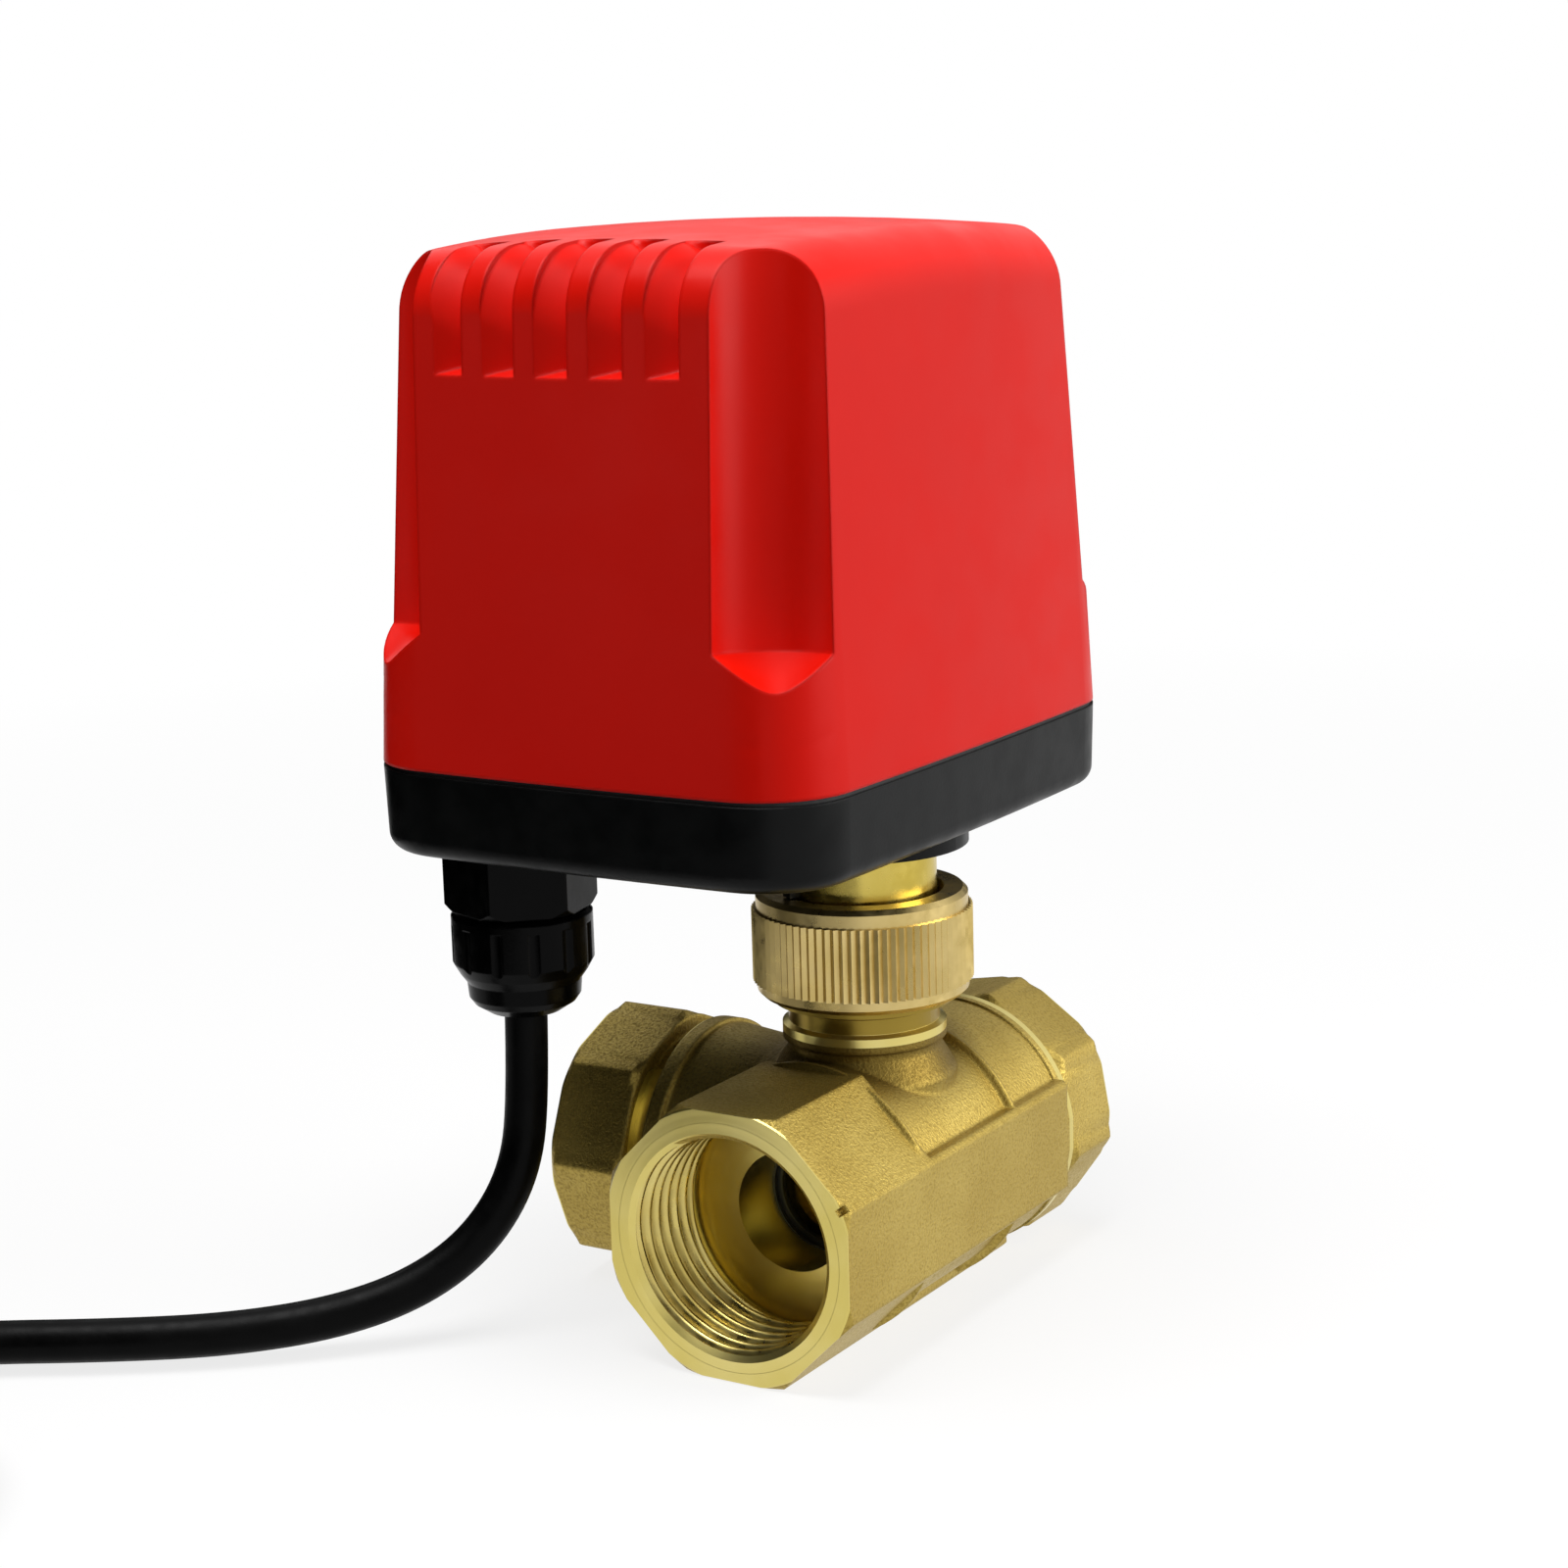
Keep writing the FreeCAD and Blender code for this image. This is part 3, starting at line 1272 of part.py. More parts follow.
def build():
    save("valve_body", valve_body())
    save("far_connector", connector(far, far_reach, far_collar_end, far_octagon_start, far_rotation))
    save("branch_connector", connector(branch, branch_reach, branch_collar_end,
                                       branch_octagon_start, branch_rotation))
    save("far_gasket", connector_gasket(far, far_collar_end))
    save("branch_gasket", connector_gasket(branch, branch_collar_end))
    save("ball", ball())
    save("front_seat", seat(front))
    save("far_seat", seat(far))
    save("branch_seat", seat(branch))
    save("stem", stem())
    save("stem_rings", stem_rings())
    save("stem_washer", stem_washer())
    save("adapter_sleeve", adapter_sleeve())
    save("locating_key", key_block(0))
    save("union_nut", union_nut())
    save("drive_coupling", drive_coupling())
    save("base_housing", base_housing())
    save("cover_gasket", cover_gasket())
    save("cover", cover())
    save("cover_screws", cover_screws())
    save("sleeve_locknut", sleeve_locknut())
    save("lower_plate", lower_plate())
    save("upper_plate", upper_plate())
    save("frame_spacers", frame_spacers())
    save("frame_screws", frame_screws())
    save("lower_bush", bush(lower_plate_bottom, lower_plate_top, lower_plate_bottom - bush_flange))
    save("upper_bush", bush(upper_plate_bottom, upper_plate_top, upper_plate_top))
    save("output_gear", output_gear())
    save("output_shaft", output_shaft())
    save("idler_gear", idler_gear())
    save("idler_pin", idler_pin())
    save("motor_pinion", motor_pinion())
    save("motor", motor())
    save("motor_screws", motor_screws())
    save("lower_cam", cam(lower_cam_bottom, False))
    save("upper_cam", cam(upper_cam_bottom, True))
    save("lower_switch", switch_body(lower_cam_bottom))
    save("upper_switch", switch_body(upper_cam_bottom))
    save("lower_lever", switch_lever(lower_cam_bottom, True))
    save("upper_lever", switch_lever(upper_cam_bottom, False))
    save("lower_plunger", switch_plunger(lower_cam_bottom, True))
    save("upper_plunger", switch_plunger(upper_cam_bottom, False))
    save("switch_posts", switch_posts())
    save("terminal_block", terminal_block())
    save("terminal_screws", terminal_screws())
    save("gland_body", gland_body())
    save("gland_locknut", gland_locknut())
    save("gland_seal", gland_seal())
    save("gland_cap", gland_cap())
    save("cable_lead", cable_lead())
    save("cable_coil", cable_coil())
    for number, name in enumerate(("brown_core", "blue_core", "earth_core")):
        save(name, cable_core(number))
    save("cable_tie", cable_tie())


build()
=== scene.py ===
import bpy
import math
from mathutils import Matrix, Vector


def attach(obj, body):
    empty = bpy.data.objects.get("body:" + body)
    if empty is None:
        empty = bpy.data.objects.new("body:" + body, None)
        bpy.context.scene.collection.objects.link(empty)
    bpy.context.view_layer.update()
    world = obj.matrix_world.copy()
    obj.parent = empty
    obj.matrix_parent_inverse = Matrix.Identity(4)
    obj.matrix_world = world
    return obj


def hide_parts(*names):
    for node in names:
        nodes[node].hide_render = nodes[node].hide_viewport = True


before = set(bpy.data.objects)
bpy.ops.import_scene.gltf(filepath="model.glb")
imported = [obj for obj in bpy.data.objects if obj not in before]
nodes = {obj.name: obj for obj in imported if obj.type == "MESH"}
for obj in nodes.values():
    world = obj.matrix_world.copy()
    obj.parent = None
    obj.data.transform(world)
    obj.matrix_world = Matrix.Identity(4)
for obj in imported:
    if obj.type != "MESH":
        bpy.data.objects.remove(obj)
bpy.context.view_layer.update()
MM = 0.001

# Camera, fitted to the valve's edges: place in metres, angles in degrees, focal length in pixels
camera_place = (0.22663, -0.38418, 0.16949)
camera_yaw, camera_pitch, camera_roll = 31.912, 11.702, -1.654
focal_pixels = 3248.7
picture_pixels = 1600
sensor_width = 36.0

# Sizes of the ports, in metres: radii round the axis of the run, and distances along it
axis_height = 19.25 * MM
thread_major, thread_minor, thread_pitch = 16.45 * MM, 15.1 * MM, 2.309 * MM
thread_runout = 0.6 * MM
front_face, front_depth = 38.5 * MM, 17.0 * MM
far_face, branch_face, connector_depth = 42.0 * MM, 43.3 * MM, 11.0 * MM
front, far, branch = Vector((0, -1, 0)), Vector((0, 1, 0)), Vector((-1, 0, 0))
face_radius, rim_radius = 17.86 * MM, 16.3 * MM
rim_inner, rim_depth = 15.5 * MM, 0.7 * MM

# Sizes of the screwed ends: octagon edges, and the steps of the bore and of the outside
corner_blunting, corner_chamfer = 0.12 * MM, 1.0 * MM
octagon_corner = 45.0
waterway, seat_cup, cup_rim, pilot, nose, groove = (
    size * MM for size in (8.8, 9.82, 10.5, 11.95, 14.95, 16.7))
cup_start, seat_end, nose_start = 10.7 * MM, 12.3 * MM, 15.0 * MM

# Where the cutter reached on the brass: round the bores below cut_ceiling, and past these planes
cut_radius, cut_ceiling = 17.9 * MM, 33.0 * MM
front_cut, barrel_cut, branch_cut, collar_cut = -38.3 * MM, 27.4 * MM, -27.3 * MM, 41.0 * MM
far_face_cut, far_shoulder_cut, branch_face_cut = 41.8 * MM, 29.1 * MM, -43.1 * MM

# Neck of the body: the radii and heights where painted shade darkens the hollow under the nut, and
# the foot of the spigot, above which painted shade darkens the cut brass
throat_inner, throat_outer = 13.0 * MM, 20.0 * MM
throat_low, throat_high = 31.0 * MM, 36.0 * MM
spigot_foot = 42.65 * MM
motor_axis = (-34.5 * MM, 14.3 * MM, 0)

# Cable: the route from the gland to the floor, then the coil of put-away length, in mm.
# coil_sides says how far left of the first turn each half turn of the coil ends.
cable_radius = 3.1 * MM
rest_height = 4.1
cable_route = (
    (-37.8, -31.0, 48.4), (-38.0, -31.2, 33.0), (-38.3, -34.0, 22.5), (-41.5, -39.5, 14.0),
    (-47.5, -46.5, 8.2), (-56.0, -55.0, 5.0), (-67.0, -65.5, rest_height),
    (-81.0, -75.3, rest_height), (-98.0, -85.0, rest_height), (-113.5, -97.5, rest_height),
    (-122.8, -115.5, rest_height), (-122.8, -133.0, rest_height),
)
coil_sides = (0.0, 65.8, 6.8, 55.0, 16.2, 59.0, 6.8, 65.8, 0.0)
coil_layer, coil_climb, coil_tail = 6.8, 3, 8.0
half_turn_points = 12


def colour(text):
    """Linear colour from the sRGB hex figure that a picture shows."""
    channels = [int(text[i:i + 2], 16) / 255 for i in (0, 2, 4)]
    return [c / 12.92 if c <= 0.04045 else ((c + 0.055) / 1.055) ** 2.4 for c in channels] + [1.0]


def add(tree, kind, inputs=(), output=0, **settings):
    """New shader node: settings are its properties, inputs are values or sockets to link.
    Gives the output that is named or numbered."""
    made = tree.nodes.new("ShaderNode" + kind)
    for name, value in settings.items():
        setattr(made, name, value)
    for name, value in dict(inputs).items():
        if isinstance(value, bpy.types.NodeSocket):
            tree.links.new(value, made.inputs[name])
        else:
            made.inputs[name].default_value = value
    return made.outputs[output] if made.outputs else None


def start_material(name):
    material = bpy.data.materials.new(name)
    material.use_nodes = True
    tree = material.node_tree
    tree.nodes.clear()
    return material, tree, add(tree, "TexCoord", output="Object")


def finish_material(tree, inputs):
    add(tree, "OutputMaterial", {"Surface": add(tree, "BsdfPrincipled", inputs)})


def two_tone(tree, pattern, low, high):
    """Colour that drifts from low to high where the pattern goes from dark to light."""
    share = add(tree, "MapRange", {"Value": pattern, "From Min": 0.35, "From Max": 0.65})
    return add(tree, "Mix", {0: share, 6: colour(low), 7: colour(high)}, 2, data_type="RGBA")


def uneven_gloss(tree, pattern, smooth, dull):
    """Roughness that drifts from smooth to dull with the pattern."""
    return add(tree, "MapRange", {"Value": pattern, "From Min": 0.35, "From Max": 0.65,
                                  "To Min": smooth, "To Max": dull})


def turning_marks(tree, place, direction, pitch_mm, centre):
    """Height of the fine rings that a cutter leaves round an axis through centre."""
    moved = add(tree, "Mapping", {"Vector": place, "Location": [-c for c in centre]})
    return add(tree, "TexWave", {"Vector": moved, "Scale": 50 / pitch_mm, "Distortion": 0.6,
                                 "Detail": 2.0, "Detail Scale": 3.0},
               "Fac", wave_type="RINGS", rings_direction=direction)


def squares(tree, first, second):
    """Square of the distance that two offsets at right angles make."""
    first_square = add(tree, "Math", {0: first, 1: first}, operation="MULTIPLY")
    second_square = add(tree, "Math", {0: second, 1: second}, operation="MULTIPLY")
    return add(tree, "Math", {0: first_square, 1: second_square}, operation="ADD")


def moulded(name, low, high, roughness, grain_mm=0.35, grain_depth_mm=0.012, flow_mm=18.0,
            edge_mm=0.0, **shader_values):
    """Injection-moulded plastic: faint flow mottling, spark-eroded grain, uneven gloss.
    edge_mm is how far the mould rounds the sharp edges of the form."""
    material, tree, place = start_material(name)
    flow = add(tree, "TexNoise", {"Vector": place, "Scale": 1000 / flow_mm, "Detail": 3.0})
    gloss = add(tree, "TexNoise", {"Vector": place, "Scale": 3000 / flow_mm})
    grain = add(tree, "TexNoise", {"Vector": place, "Scale": 1000 / grain_mm})
    skin = {"Height": grain, "Distance": grain_depth_mm * MM, "Strength": 1.0}
    if edge_mm:
        skin["Normal"] = add(tree, "Bevel", {"Radius": edge_mm * MM}, samples=4)
    finish_material(tree, {
        "Base Color": two_tone(tree, flow, low, high), "Normal": add(tree, "Bump", skin),
        "Roughness": uneven_gloss(tree, gloss, roughness - 0.05, roughness + 0.05),
        **shader_values})
    return material


def metal(name, low, high, roughness, direction=None, pitch_mm=0.12, centre=(0, 0, 0),
          depth_mm=0.004, stain_mm=9.0):
    """Bare or plated metal: slight tarnish, scattered dullness, and turning marks along
    direction or else a fine pitting."""
    material, tree, place = start_material(name)
    stain = add(tree, "TexNoise", {"Vector": place, "Scale": 1000 / stain_mm, "Detail": 4.0,
                                   "Roughness": 0.6})
    dulling = add(tree, "TexNoise", {"Vector": place, "Scale": 4000 / stain_mm, "Detail": 3.0})
    if direction:
        marks = turning_marks(tree, place, direction, pitch_mm, centre)
    else:
        marks = add(tree, "TexNoise", {"Vector": place, "Scale": 1000 / 0.4, "Detail": 3.0})
    finish_material(tree, {
        "Base Color": two_tone(tree, stain, low, high), "Metallic": 1.0,
        "Roughness": uneven_gloss(tree, dulling, roughness - 0.06, roughness + 0.08),
        "Normal": add(tree, "Bump", {"Height": marks, "Distance": depth_mm * MM,
                                     "Strength": 1.0})})
    return material


def forged_brass(name, direction, *planes):
    """Sand-blasted forging with machined faces: the blasting gives a dull grainy skin that
    is darker in its pits, and the cutter leaves bright smooth rings on the faces it reached.
    Each plane is (axis, operation, metres) and says where the cut metal lies."""
    material, tree, place = start_material(name)
    along = add(tree, "SeparateXYZ", {"Vector": place}).node.outputs
    side = along["X" if direction == "Y" else "Y"]
    up = add(tree, "Math", {0: along["Z"], 1: axis_height}, operation="SUBTRACT")
    in_bore = add(tree, "Math", {0: squares(tree, side, up), 1: cut_radius ** 2},
                  operation="LESS_THAN")
    below_neck = add(tree, "Math", {0: along["Z"], 1: cut_ceiling}, operation="LESS_THAN")
    cut = add(tree, "Math", {0: in_bore, 1: below_neck}, operation="MULTIPLY")
    for axis, operation, value in planes:
        past = add(tree, "Math", {0: along[axis], 1: value}, operation=operation)
        cut = add(tree, "Math", {0: cut, 1: past}, operation="MAXIMUM")

    # grit of 0.4 mm pits the skin, and hand marks of a centimetre or so cloud it
    pits = add(tree, "TexNoise", {"Vector": place, "Scale": 1000 / 0.42, "Detail": 2.0,
                                  "Roughness": 0.6})
    cloud = add(tree, "TexNoise", {"Vector": place, "Scale": 1000 / 12.0, "Detail": 3.0})
    pitted = add(tree, "MapRange", {"Value": pits, "From Min": 0.46, "From Max": 0.68,
                                    "To Min": 0.0, "To Max": 0.6})
    blasted = add(tree, "Mix", {0: pitted, 6: two_tone(tree, cloud, "b59c4c", "c0a857"),
                                7: colour("8c7534")}, 2, data_type="RGBA")

    # painted shade: the hollow of the neck under the nut's overhang is darkened, for the shade that
    # the nut casts there
    off_stem = squares(tree, along["X"], along["Y"])
    close = add(tree, "MapRange", {"Value": off_stem, "From Min": throat_inner ** 2,
                                   "From Max": throat_outer ** 2, "To Min": 0.75, "To Max": 0.0})
    high = add(tree, "MapRange", {"Value": along["Z"], "From Min": throat_low,
                                  "From Max": throat_high})
    throat_shade = add(tree, "Math", {0: close, 1: high}, operation="MULTIPLY")
    blasted = add(tree, "Mix", {0: throat_shade, 6: blasted, 7: colour("5f4a18")}, 2, data_type="RGBA")

    # painted shade: the spigot above the collar sits in the nut's shade, so its cut colour is
    # darkened
    shaded_spigot = add(tree, "Math", {0: along["Z"], 1: spigot_foot}, operation="GREATER_THAN")
    bright = add(tree, "Mix", {0: shaded_spigot, 6: two_tone(tree, cloud, "e0cd72", "ead988"),
                               7: colour("9a8236")}, 2, data_type="RGBA")

    rounded = add(tree, "Bevel", {"Radius": 0.8 * MM}, samples=4)
    grain = add(tree, "Bump", {"Height": pits, "Distance": 0.1 * MM, "Strength": 1.0,
                               "Normal": rounded})
    turned = turning_marks(tree, place, direction, 0.3, (0, 0, axis_height))
    smooth = add(tree, "Bump", {"Height": turned, "Distance": 0.006 * MM, "Strength": 1.0})
    skin_roughness = uneven_gloss(tree, pits, 0.4, 0.56)
    finish_material(tree, {
        "Base Color": add(tree, "Mix", {0: cut, 6: blasted, 7: bright}, 2, data_type="RGBA"),
        "Metallic": 0.92,
        "Roughness": add(tree, "Mix", {0: cut, 2: skin_roughness, 3: 0.28}, data_type="FLOAT"),
        "Normal": add(tree, "Mix", {0: cut, 4: grain, 5: smooth}, 1, data_type="VECTOR")})
    return material


finishes = {
    # forged and sand-blasted brass: dull grain outside, bright cut faces and bores
    "body": forged_brass("forged_blasted_brass_body", "Y",
                         ("Y", "LESS_THAN", front_cut), ("Y", "GREATER_THAN", barrel_cut),
                         ("X", "LESS_THAN", branch_cut), ("Z", "GREATER_THAN", collar_cut)),
    "far_end": forged_brass("forged_blasted_brass_far_end", "Y",
                            ("Y", "GREATER_THAN", far_face_cut),
                            ("Y", "LESS_THAN", far_shoulder_cut)),
    "branch_end": forged_brass("forged_blasted_brass_branch_end", "X",
                               ("X", "LESS_THAN", branch_face_cut)),
    # threads cut in brass: bright flanks that glint in rings
    "thread_y": metal("tapped_brass_y", "cdb765", "e2d082", 0.3, depth_mm=0.001),
    "thread_x": metal("tapped_brass_x", "cdb765", "e2d082", 0.3, depth_mm=0.001),
    # polished brass ball: a clear reflection; its colour is darkened to a dull yellow as painted
    # shade for the dark of the bore
    "ball": metal("polished_brass_ball", "8a7c3a", "a3954c", 0.16, depth_mm=0.001),
    # turned brass: rings that draw the highlight out sideways
    "bright_brass": metal("turned_brass_sleeve", "cbb350", "dcc668", 0.22, "Z", 0.25),
    # plated nut, turned and knurled: paler and duller than the sleeve, slightly worn
    "nut": metal("turned_plated_brass_nut", "c6ad68", "dcc484", 0.32, "Z", 0.3, depth_mm=0.006),
    # zinc-plated pressings and screws: cool grey with cloudy spangle
    "zinc": metal("zinc_plated_steel", "b6bbc0", "d3d6d8", 0.32, depth_mm=0.003, stain_mm=5.0),
    # pressed and sintered bronze: brown, open-pored and nearly without gloss
    "bronze": metal("sintered_bronze", "8a6234", "a9804a", 0.5, depth_mm=0.02, stain_mm=3.0),
    # hardened pinion steel: dark grey with fine cutter rings
    "steel": metal("hardened_steel", "6b6e73", "8b8e92", 0.3, "Z", 0.2),
    # deep-drawn steel can: pale, with faint rings round the motor's axis
    "motor_can": metal("drawn_steel_can", "a9adb0", "c6c9cc", 0.28, "Z", 0.5, motor_axis),
    # PTFE, pressed and skimmed: waxy, coloured dark grey as painted shade for the dark of the bore
    # where the seats sit
    "ptfe": moulded("pressed_ptfe_painted_shade", "33342f", "42433c", 0.35, 0.5, 0.01, 6.0),
    # moulded rubber rings and gaskets: black and matt
    "rubber": moulded("moulded_rubber", "0a0a0a", "151515", 0.6, 0.3, 0.015, 5.0),
    # moulded ABS cover: even deep red with a soft gloss and a very fine grain
    "cover": moulded("moulded_red_abs", "e31002", "e71203", 0.35, 0.4, 0.004, 30.0, 0.7,
                     **{"Specular IOR Level": 0.15}),
    # moulded ABS base: black, with a fine grain that breaks its highlight
    "base": moulded("moulded_black_abs", "030404", "080909", 0.36, 0.45, 0.01, 14.0, 0.5,
                    **{"Specular IOR Level": 0.14}),
    # small moulded pieces of glass-filled plastic: off-black with a low gloss
    "black_part": moulded("moulded_black_plastic", "0d0d0d", "191919", 0.35, 0.3, 0.006, 6.0),
    # moulded polyamide gland and tie: deep black, glossier than the base
    "gland": moulded("moulded_black_polyamide", "020202", "050505", 0.22, 0.5, 0.006, 8.0, 0.3,
                     **{"Specular IOR Level": 0.07}),
    # moulded acetal gears and cams: clean waxy white
    "acetal": moulded("moulded_white_acetal", "e4e2da", "f1efe9", 0.35, 0.4, 0.004, 5.0),
    # moulded terminal block: plain grey with a low gloss
    "grey_part": moulded("moulded_grey_plastic", "8d8f90", "a3a5a6", 0.45, 0.3, 0.006, 5.0),
    # extruded cable sheath: dull black rubber drawn smooth lengthways
    "sheath": moulded("extruded_black_rubber", "020202", "070707", 0.42, 0.6, 0.012, 7.0,
                      **{"Specular IOR Level": 0.07}),
    # extruded wire insulation: smooth and softly glossy, the earth mottled green and yellow
    "brown": moulded("brown_wire_insulation", "4b2611", "5c3018", 0.35, 0.4, 0.004, 4.0),
    "blue": moulded("blue_wire_insulation", "1d4ea0", "2a60b4", 0.35, 0.4, 0.004, 4.0),
    "earth": moulded("green_wire_insulation", "5d9a1e", "c6cf2e", 0.35, 0.4, 0.004, 3.0),
}
nodes_of = {
    "body": "valve_body",
    "far_end": "far_connector",
    "branch_end": "branch_connector",
    "ball": "ball",
    "nut": "union_nut",
    "bright_brass": "adapter_sleeve stem",
    "ptfe": "front_seat far_seat branch_seat stem_washer",
    "rubber": "far_gasket branch_gasket stem_rings cover_gasket gland_seal",
    "zinc": "drive_coupling sleeve_locknut lower_plate upper_plate frame_spacers frame_screws "
            "cover_screws motor_screws switch_posts output_shaft idler_pin lower_lever "
            "upper_lever terminal_screws",
    "bronze": "lower_bush upper_bush",
    "steel": "motor_pinion",
    "motor_can": "motor",
    "acetal": "output_gear idler_gear lower_cam upper_cam lower_plunger upper_plunger",
    "cover": "cover",
    "base": "base_housing",
    "black_part": "locating_key lower_switch upper_switch",
    "grey_part": "terminal_block",
    "gland": "gland_body gland_locknut gland_cap cable_tie",
    "sheath": "cable_lead cable_coil",
    "brown": "brown_core",
    "blue": "blue_core",
    "earth": "earth_core",
}
finish_of = {name: finish for finish, names in nodes_of.items() for name in names.split()}
for name, node in nodes.items():
    node.data.materials.clear()
    node.data.materials.append(finishes[finish_of[name]])


def port_point(outward, distance, reach, angle):
    """Point along a port's axis and round it, never below the ground."""
    across = Vector((0, 0, 1)).cross(outward)
    height = axis_height + reach * math.sin(angle)
    return (outward * distance + across * reach * math.cos(angle)
            + Vector((0, 0, max(0.0, height))))


def bands(ring_pairs, around):
    """Faces between pairs of rings of points."""
    faces = []
    for i, j in ring_pairs:
        for k in range(around):
            beside = (k + 1) % around
            faces.append((i * around + k, i * around + beside,
                          j * around + beside, j * around + k))
    return faces


def valve_piece(name, corners, faces, finish):
    """Smooth mesh piece that rides on the valve's body."""
    mesh = bpy.data.meshes.new(name)
    mesh.from_pydata(corners, [], faces)
    mesh.polygons.foreach_set("use_smooth", [True] * len(mesh.polygons))
    mesh.materials.append(finishes[finish])
    piece = bpy.data.objects.new(name, mesh)
    bpy.context.scene.collection.objects.link(piece)
    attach(piece, "valve")
    return piece


def pipe_thread(name, outward, face, depth, finish):
    """Internal pipe thread: a helical ridge that runs from the mouth to the end of the pocket.
    Its root is flat, its flanks slope, and it fades in at the mouth and out at the end."""
    around, per_pitch = 120, 10
    start, end = face - rim_depth, face - depth + thread_runout
    steps = int((start - end) / thread_pitch * per_pitch)
    corners = []
    for i in range(steps + 1):
        distance = start + (end - start) * i / steps
        fade = min(1.0, (steps - i) / (0.6 * per_pitch), 0.35 + i / (0.8 * per_pitch))
        for k in range(around):
            turn = k / around
            phase = (distance / thread_pitch + turn) % 1.0
            height = min(1.0, max(0.0, 1.25 - 2.9 * abs(phase - 0.5)))
            radius = thread_major - (thread_major - thread_minor) * height * fade
            corners.append(port_point(outward, distance, radius, 2 * math.pi * turn))
    valve_piece(name, corners, bands(((i, i + 1) for i in range(steps)), around), finish)


def port_rim(name, outward, face, finish):
    """Flat edge of the port's mouth and the small countersink in front of the thread."""
    around = 120
    levels = ((face_radius, face), (rim_radius, face), (rim_radius, face),
              (rim_inner, face - rim_depth))
    corners = [port_point(outward, distance, radius, 2 * math.pi * k / around)
               for radius, distance in levels for k in range(around)]
    valve_piece(name, corners, bands(((0, 1), (2, 3)), around), finish)


def screwed_end(node, outward, turn, flat_reach, shoulder, octagon_start, face, finish):
    """Screwed end: nose in the body, groove, octagon with turned corners, threaded pocket."""
    around = 160
    tip = flat_reach / math.cos(math.radians(octagon_corner / 2)) - corner_blunting
    pocket = face - connector_depth
    profile = (
        (seat_end, waterway), (seat_end, seat_cup), (cup_start, seat_cup), (cup_start, cup_rim),
        (seat_end, cup_rim), (seat_end, pilot), (nose_start, pilot), (nose_start, nose),
        (shoulder, nose), (shoulder, groove), (octagon_start, groove),
        (octagon_start, tip - corner_chamfer), (octagon_start + corner_chamfer, tip),
        (face - corner_chamfer, tip), (face, tip - corner_chamfer), (face, rim_radius),
        (face - rim_depth, rim_inner), (face - rim_depth, thread_major),
        (pocket, thread_major), (pocket, waterway))
    corners = []
    for distance, radius in profile:
        for k in range(around):
            bearing = 360 / around * k
            off_flat = (bearing + octagon_corner / 2) % octagon_corner - octagon_corner / 2
            reach = min(radius, flat_reach / math.cos(math.radians(off_flat)))
            corners.append(port_point(outward, distance, reach, math.radians(turn + bearing)))
    rows = len(profile)
    faces = bands(((i, (i + 1) % rows) for i in range(rows)), around)
    piece = valve_piece(node + "_dressed", corners, faces, finish)
    piece.data.set_sharp_from_angle(angle=math.radians(20))
    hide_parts(node)


def coil_points():
    """Points of the coil in mm: half turns inwards on the floor, then outwards one layer up."""
    end, before = Vector(cable_route[-1]), Vector(cable_route[-2])
    heading = (end - before).normalized()
    left = Vector((0, 0, 1)).cross(heading)
    first = end + heading * 2 * cable_radius / MM
    points, way, lift = [], 1, 0.0
    for turn, (side, next_side) in enumerate(zip(coil_sides, coil_sides[1:])):
        rise = coil_layer if turn == coil_climb else 0.0
        start = first + left * side + Vector((0, 0, lift))
        chord = left * (next_side - side) + Vector((0, 0, rise))
        for k in range(half_turn_points):
            angle = math.pi * k / half_turn_points
            points.append(start + chord * (1 - math.cos(angle)) / 2
                          + heading * way * chord.length / 2 * math.sin(angle))
        lift += rise
        way = -way
    last = first + left * coil_sides[-1] + Vector((0, 0, lift))
    return points + [last, last + heading * coil_tail]


def lay_cable():
    """Round rubber cable from the gland to the end of the coil."""
    curve = bpy.data.curves.new("cable", "CURVE")
    curve.dimensions = "3D"
    spline = curve.splines.new("NURBS")
    points = [Vector(p) for p in cable_route] + coil_points()
    spline.points.add(len(points) - 1)
    for point, place in zip(spline.points, points):
        point.co = (*(place * MM), 1.0)
    spline.order_u = 3
    spline.use_endpoint_u = True
    spline.resolution_u = 8
    curve.bevel_depth = cable_radius
    curve.bevel_resolution = 6
    curve.use_fill_caps = True
    curve.materials.append(finishes["sheath"])
    cable = bpy.data.objects.new("cable", curve)
    bpy.context.scene.collection.objects.link(cable)
    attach(cable, "valve")
    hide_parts("cable_lead", "cable_coil")


pipe_thread("front_port_thread", front, front_face, front_depth, "thread_y")
pipe_thread("far_port_thread", far, far_face, connector_depth, "thread_y")
pipe_thread("branch_port_thread", branch, branch_face, connector_depth, "thread_x")
screwed_end("far_connector", far, -10.0, 18.46 * MM, 29.2 * MM, 29.2 * MM, far_face,
            "far_end")
screwed_end("branch_connector", branch, -22.0, 18.7 * MM, 28.0 * MM, 30.6 * MM, branch_face,
            "branch_end")
port_rim("front_port_rim", front, front_face, "body")
lay_cable()


def sheet(name, corners, faces, material):
    """Flat piece of the studio."""
    mesh = bpy.data.meshes.new(name)
    mesh.from_pydata(corners, [], faces)
    mesh.materials.append(material)
    piece = bpy.data.objects.new(name, mesh)
    bpy.context.scene.collection.objects.link(piece)
    return piece


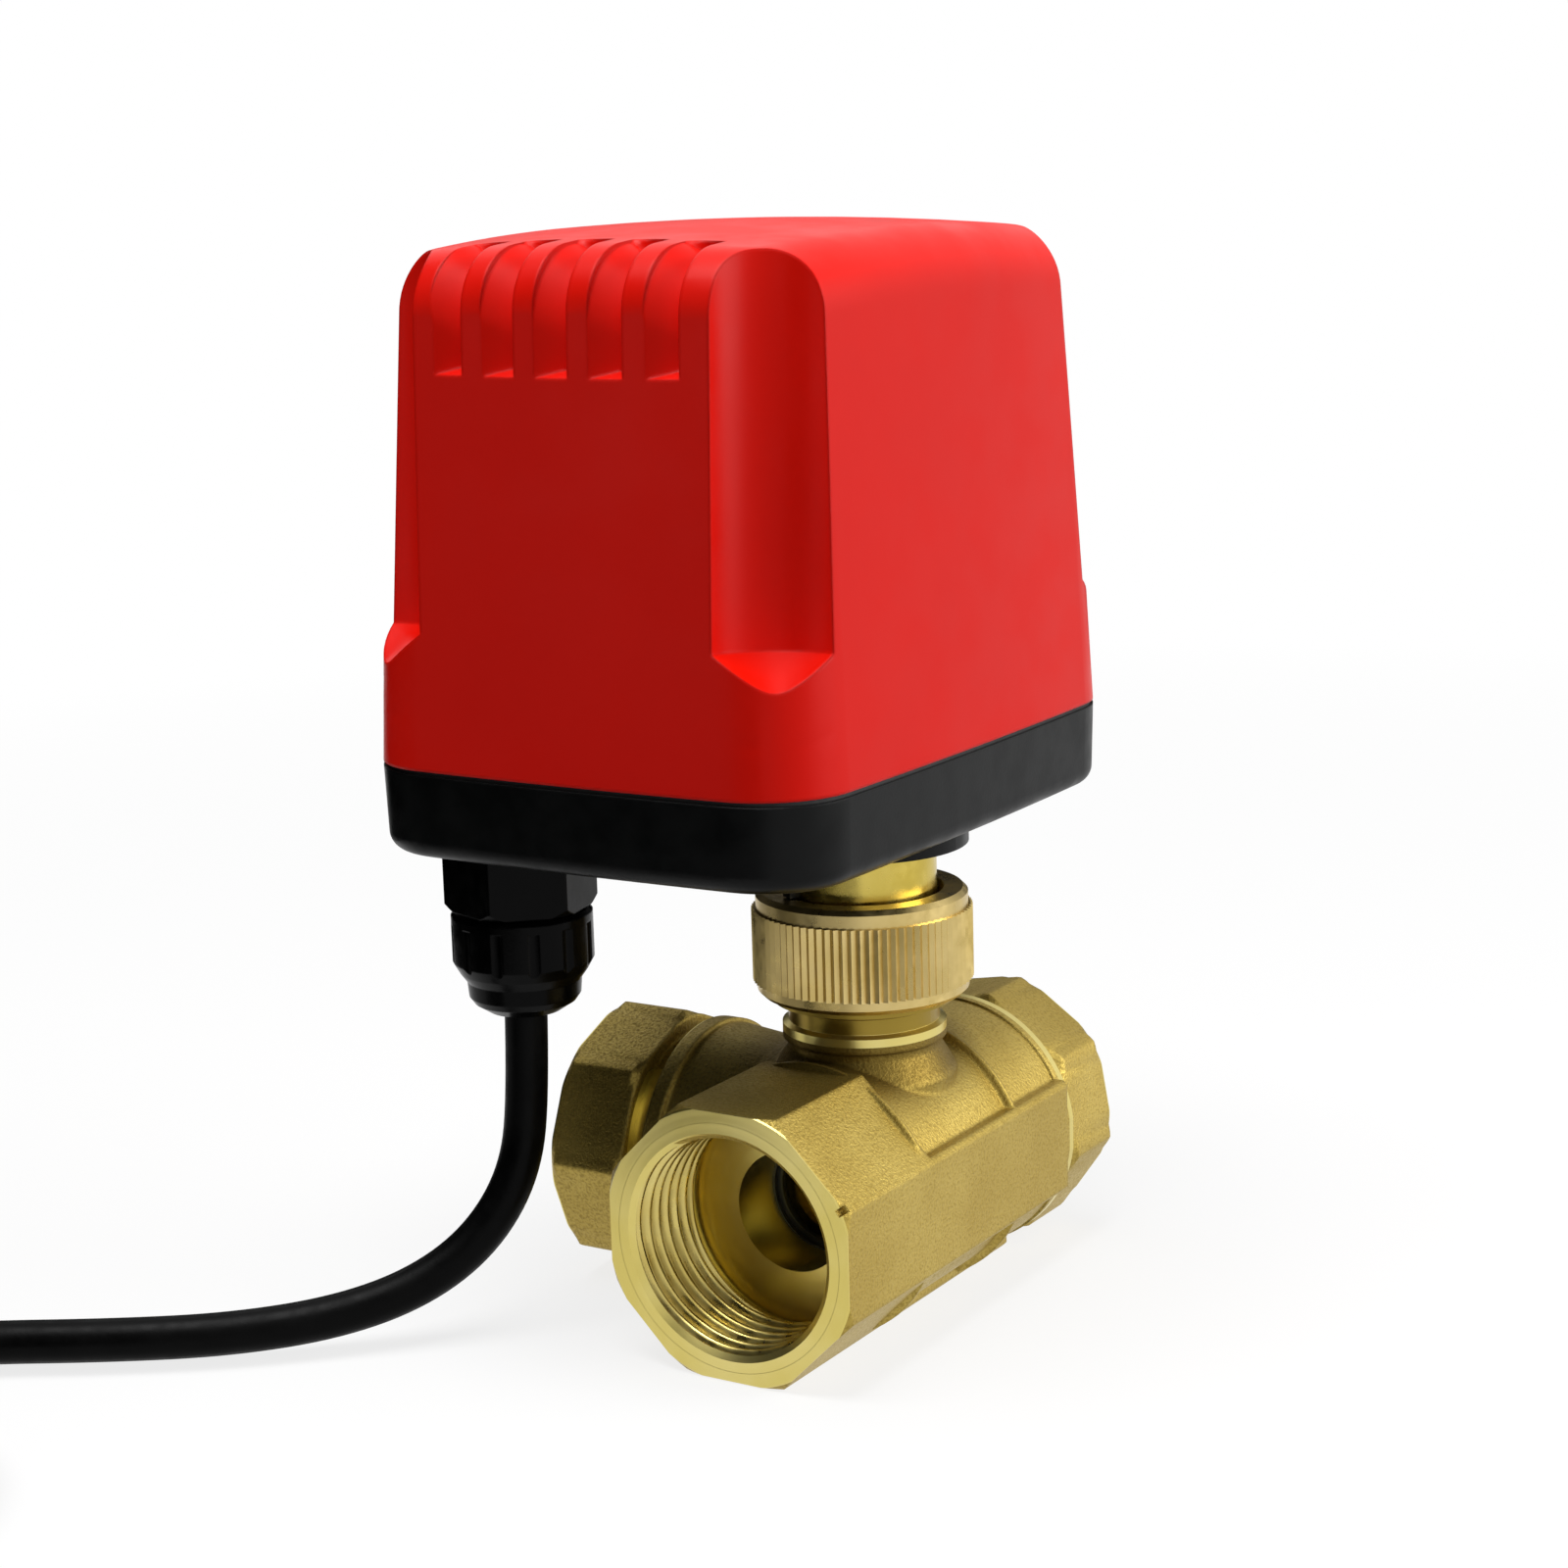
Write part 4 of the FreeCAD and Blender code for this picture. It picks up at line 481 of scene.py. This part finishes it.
def make_stage():
    """Pale floor, and dark cards that only reflections see."""
    # the floor looks white to the camera and in reflections, keeps a soft shadow near the
    # valve, and throws little light back at the walls that stand over it
    pale, tree, place = start_material("pale_floor")
    path = add(tree, "LightPath").node.outputs
    seen = add(tree, "Mix", {0: path["Is Camera Ray"], 6: colour("8a8a8a"), 7: colour("f4f4f4")},
               2, data_type="RGBA")
    distance = add(tree, "VectorMath", {0: place}, "Value", operation="LENGTH")
    near_share = add(tree, "MapRange", {"Value": distance, "From Min": 0.15, "From Max": 0.6,
                                        "To Min": 0.8, "To Max": 1.0})
    camera_share = add(tree, "Math", {0: path["Is Camera Ray"], 1: near_share},
                       operation="MULTIPLY")
    glossy_share = add(tree, "Math", {0: path["Is Glossy Ray"], 1: 0.85}, operation="MULTIPLY")
    share = add(tree, "Math", {0: camera_share, 1: glossy_share}, operation="ADD")
    white = add(tree, "Emission", {"Color": colour("ffffff"), "Strength": 1.0})
    surface = add(tree, "MixShader", {0: share, 1: add(tree, "BsdfDiffuse", {"Color": seen}),
                                      2: white})
    add(tree, "OutputMaterial", {"Surface": surface})
    reach, floor_height = 12.0, -0.0002
    floor = sheet("floor", [(-reach, -reach, floor_height), (reach, -reach, floor_height),
                            (reach, reach, floor_height), (-reach, reach, floor_height)],
                  [(0, 1, 2, 3)], pale)

    # one card lies to the front and left and goes on upright behind its far edge, and a
    # low one stands behind to the left: they give the brass and plastic their dark sides
    black, tree, _ = start_material("dark_card")
    add(tree, "OutputMaterial", {"Surface": add(tree, "BsdfDiffuse", {"Color": colour("050505")})})
    lying, upright, low = 0.0003, 0.8, 0.28
    near_edge = [(-0.24, 0.10), (-0.20, -0.12), (0.0, -0.26), (0.16, -0.26)]
    far_edge = [(-0.60, 0.20), (-0.50, -0.30), (0.0, -0.62), (0.24, -0.62)]
    low_edge = [(-0.85, 0.05), (-0.65, 0.40), (-0.30, 0.60), (0.0, 0.65)]
    corners = [(x, y, z) for edge, z in ((near_edge, lying), (far_edge, lying), (far_edge, upright),
                                         (low_edge, 0.0), (low_edge, low)) for x, y in edge]
    cards = sheet("flag", corners, [(k + i, k + i + 1, k + i + 5, k + i + 4)
                                    for k in (0, 4, 12) for i in range(3)], black)
    for ray in ("camera", "diffuse", "shadow", "transmission"):
        setattr(cards, "visible_" + ray, False)


def area_light(name, place, target, size, power):
    """Rectangular soft light in metres and watts, turned to its target."""
    light = bpy.data.lights.new(name, "AREA")
    light.shape = "RECTANGLE"
    light.size, light.size_y = size
    light.energy = power
    lamp = bpy.data.objects.new(name, light)
    bpy.context.scene.collection.objects.link(lamp)
    lamp.location = place
    direction = Vector(target) - Vector(place)
    lamp.rotation_euler = direction.to_track_quat("-Z", "Y").to_euler()


def make_lights():
    """White surroundings that light the valve weakly, and three soft lights."""
    world = bpy.data.worlds.new("studio")
    world.use_nodes = True
    tree = world.node_tree
    tree.nodes.clear()
    path = add(tree, "LightPath").node.outputs
    glossy = add(tree, "Math", {0: path["Is Glossy Ray"], 1: 0.7}, operation="MULTIPLY")
    camera = add(tree, "Math", {0: path["Is Camera Ray"], 1: 0.87}, operation="MULTIPLY")
    both = add(tree, "Math", {0: glossy, 1: camera}, operation="ADD")
    strength = add(tree, "Math", {0: both, 1: 0.13}, operation="ADD")
    white = add(tree, "Background", {"Color": colour("ffffff"), "Strength": strength})
    add(tree, "OutputWorld", {"Surface": white})
    bpy.context.scene.world = world
    area_light("right_softbox", (0.85, 0.32, 0.4), (0, 0, 0.08), (0.7, 0.6), 7.0)
    area_light("top_softbox", (-0.05, -0.2, 0.95), (0, 0, 0.1), (0.6, 0.5), 8.5)
    area_light("front_fill", (-0.45, -0.85, 0.12), (0, 0, 0.05), (0.5, 0.2), 0.2)


def make_camera():
    yaw, pitch, roll = (math.radians(a) for a in (camera_yaw, camera_pitch, camera_roll))
    ahead = Vector((-math.sin(yaw) * math.cos(pitch), math.cos(yaw) * math.cos(pitch),
                    -math.sin(pitch)))
    right = Vector((math.cos(yaw), math.sin(yaw), 0))
    up = right.cross(ahead)
    rolled_right = right * math.cos(roll) + up * math.sin(roll)
    rolled_up = up * math.cos(roll) - right * math.sin(roll)
    lens = bpy.data.cameras.new("camera")
    lens.sensor_width = sensor_width
    lens.lens = focal_pixels / picture_pixels * sensor_width
    lens.clip_start, lens.clip_end = 0.01, 50
    camera = bpy.data.objects.new("camera", lens)
    bpy.context.scene.collection.objects.link(camera)
    turn = Matrix((rolled_right, rolled_up, -ahead)).transposed().to_4x4()
    camera.matrix_world = Matrix.Translation(camera_place) @ turn
    bpy.context.scene.camera = camera


make_stage()
make_lights()
make_camera()
bpy.context.scene.view_settings.view_transform = "Standard"
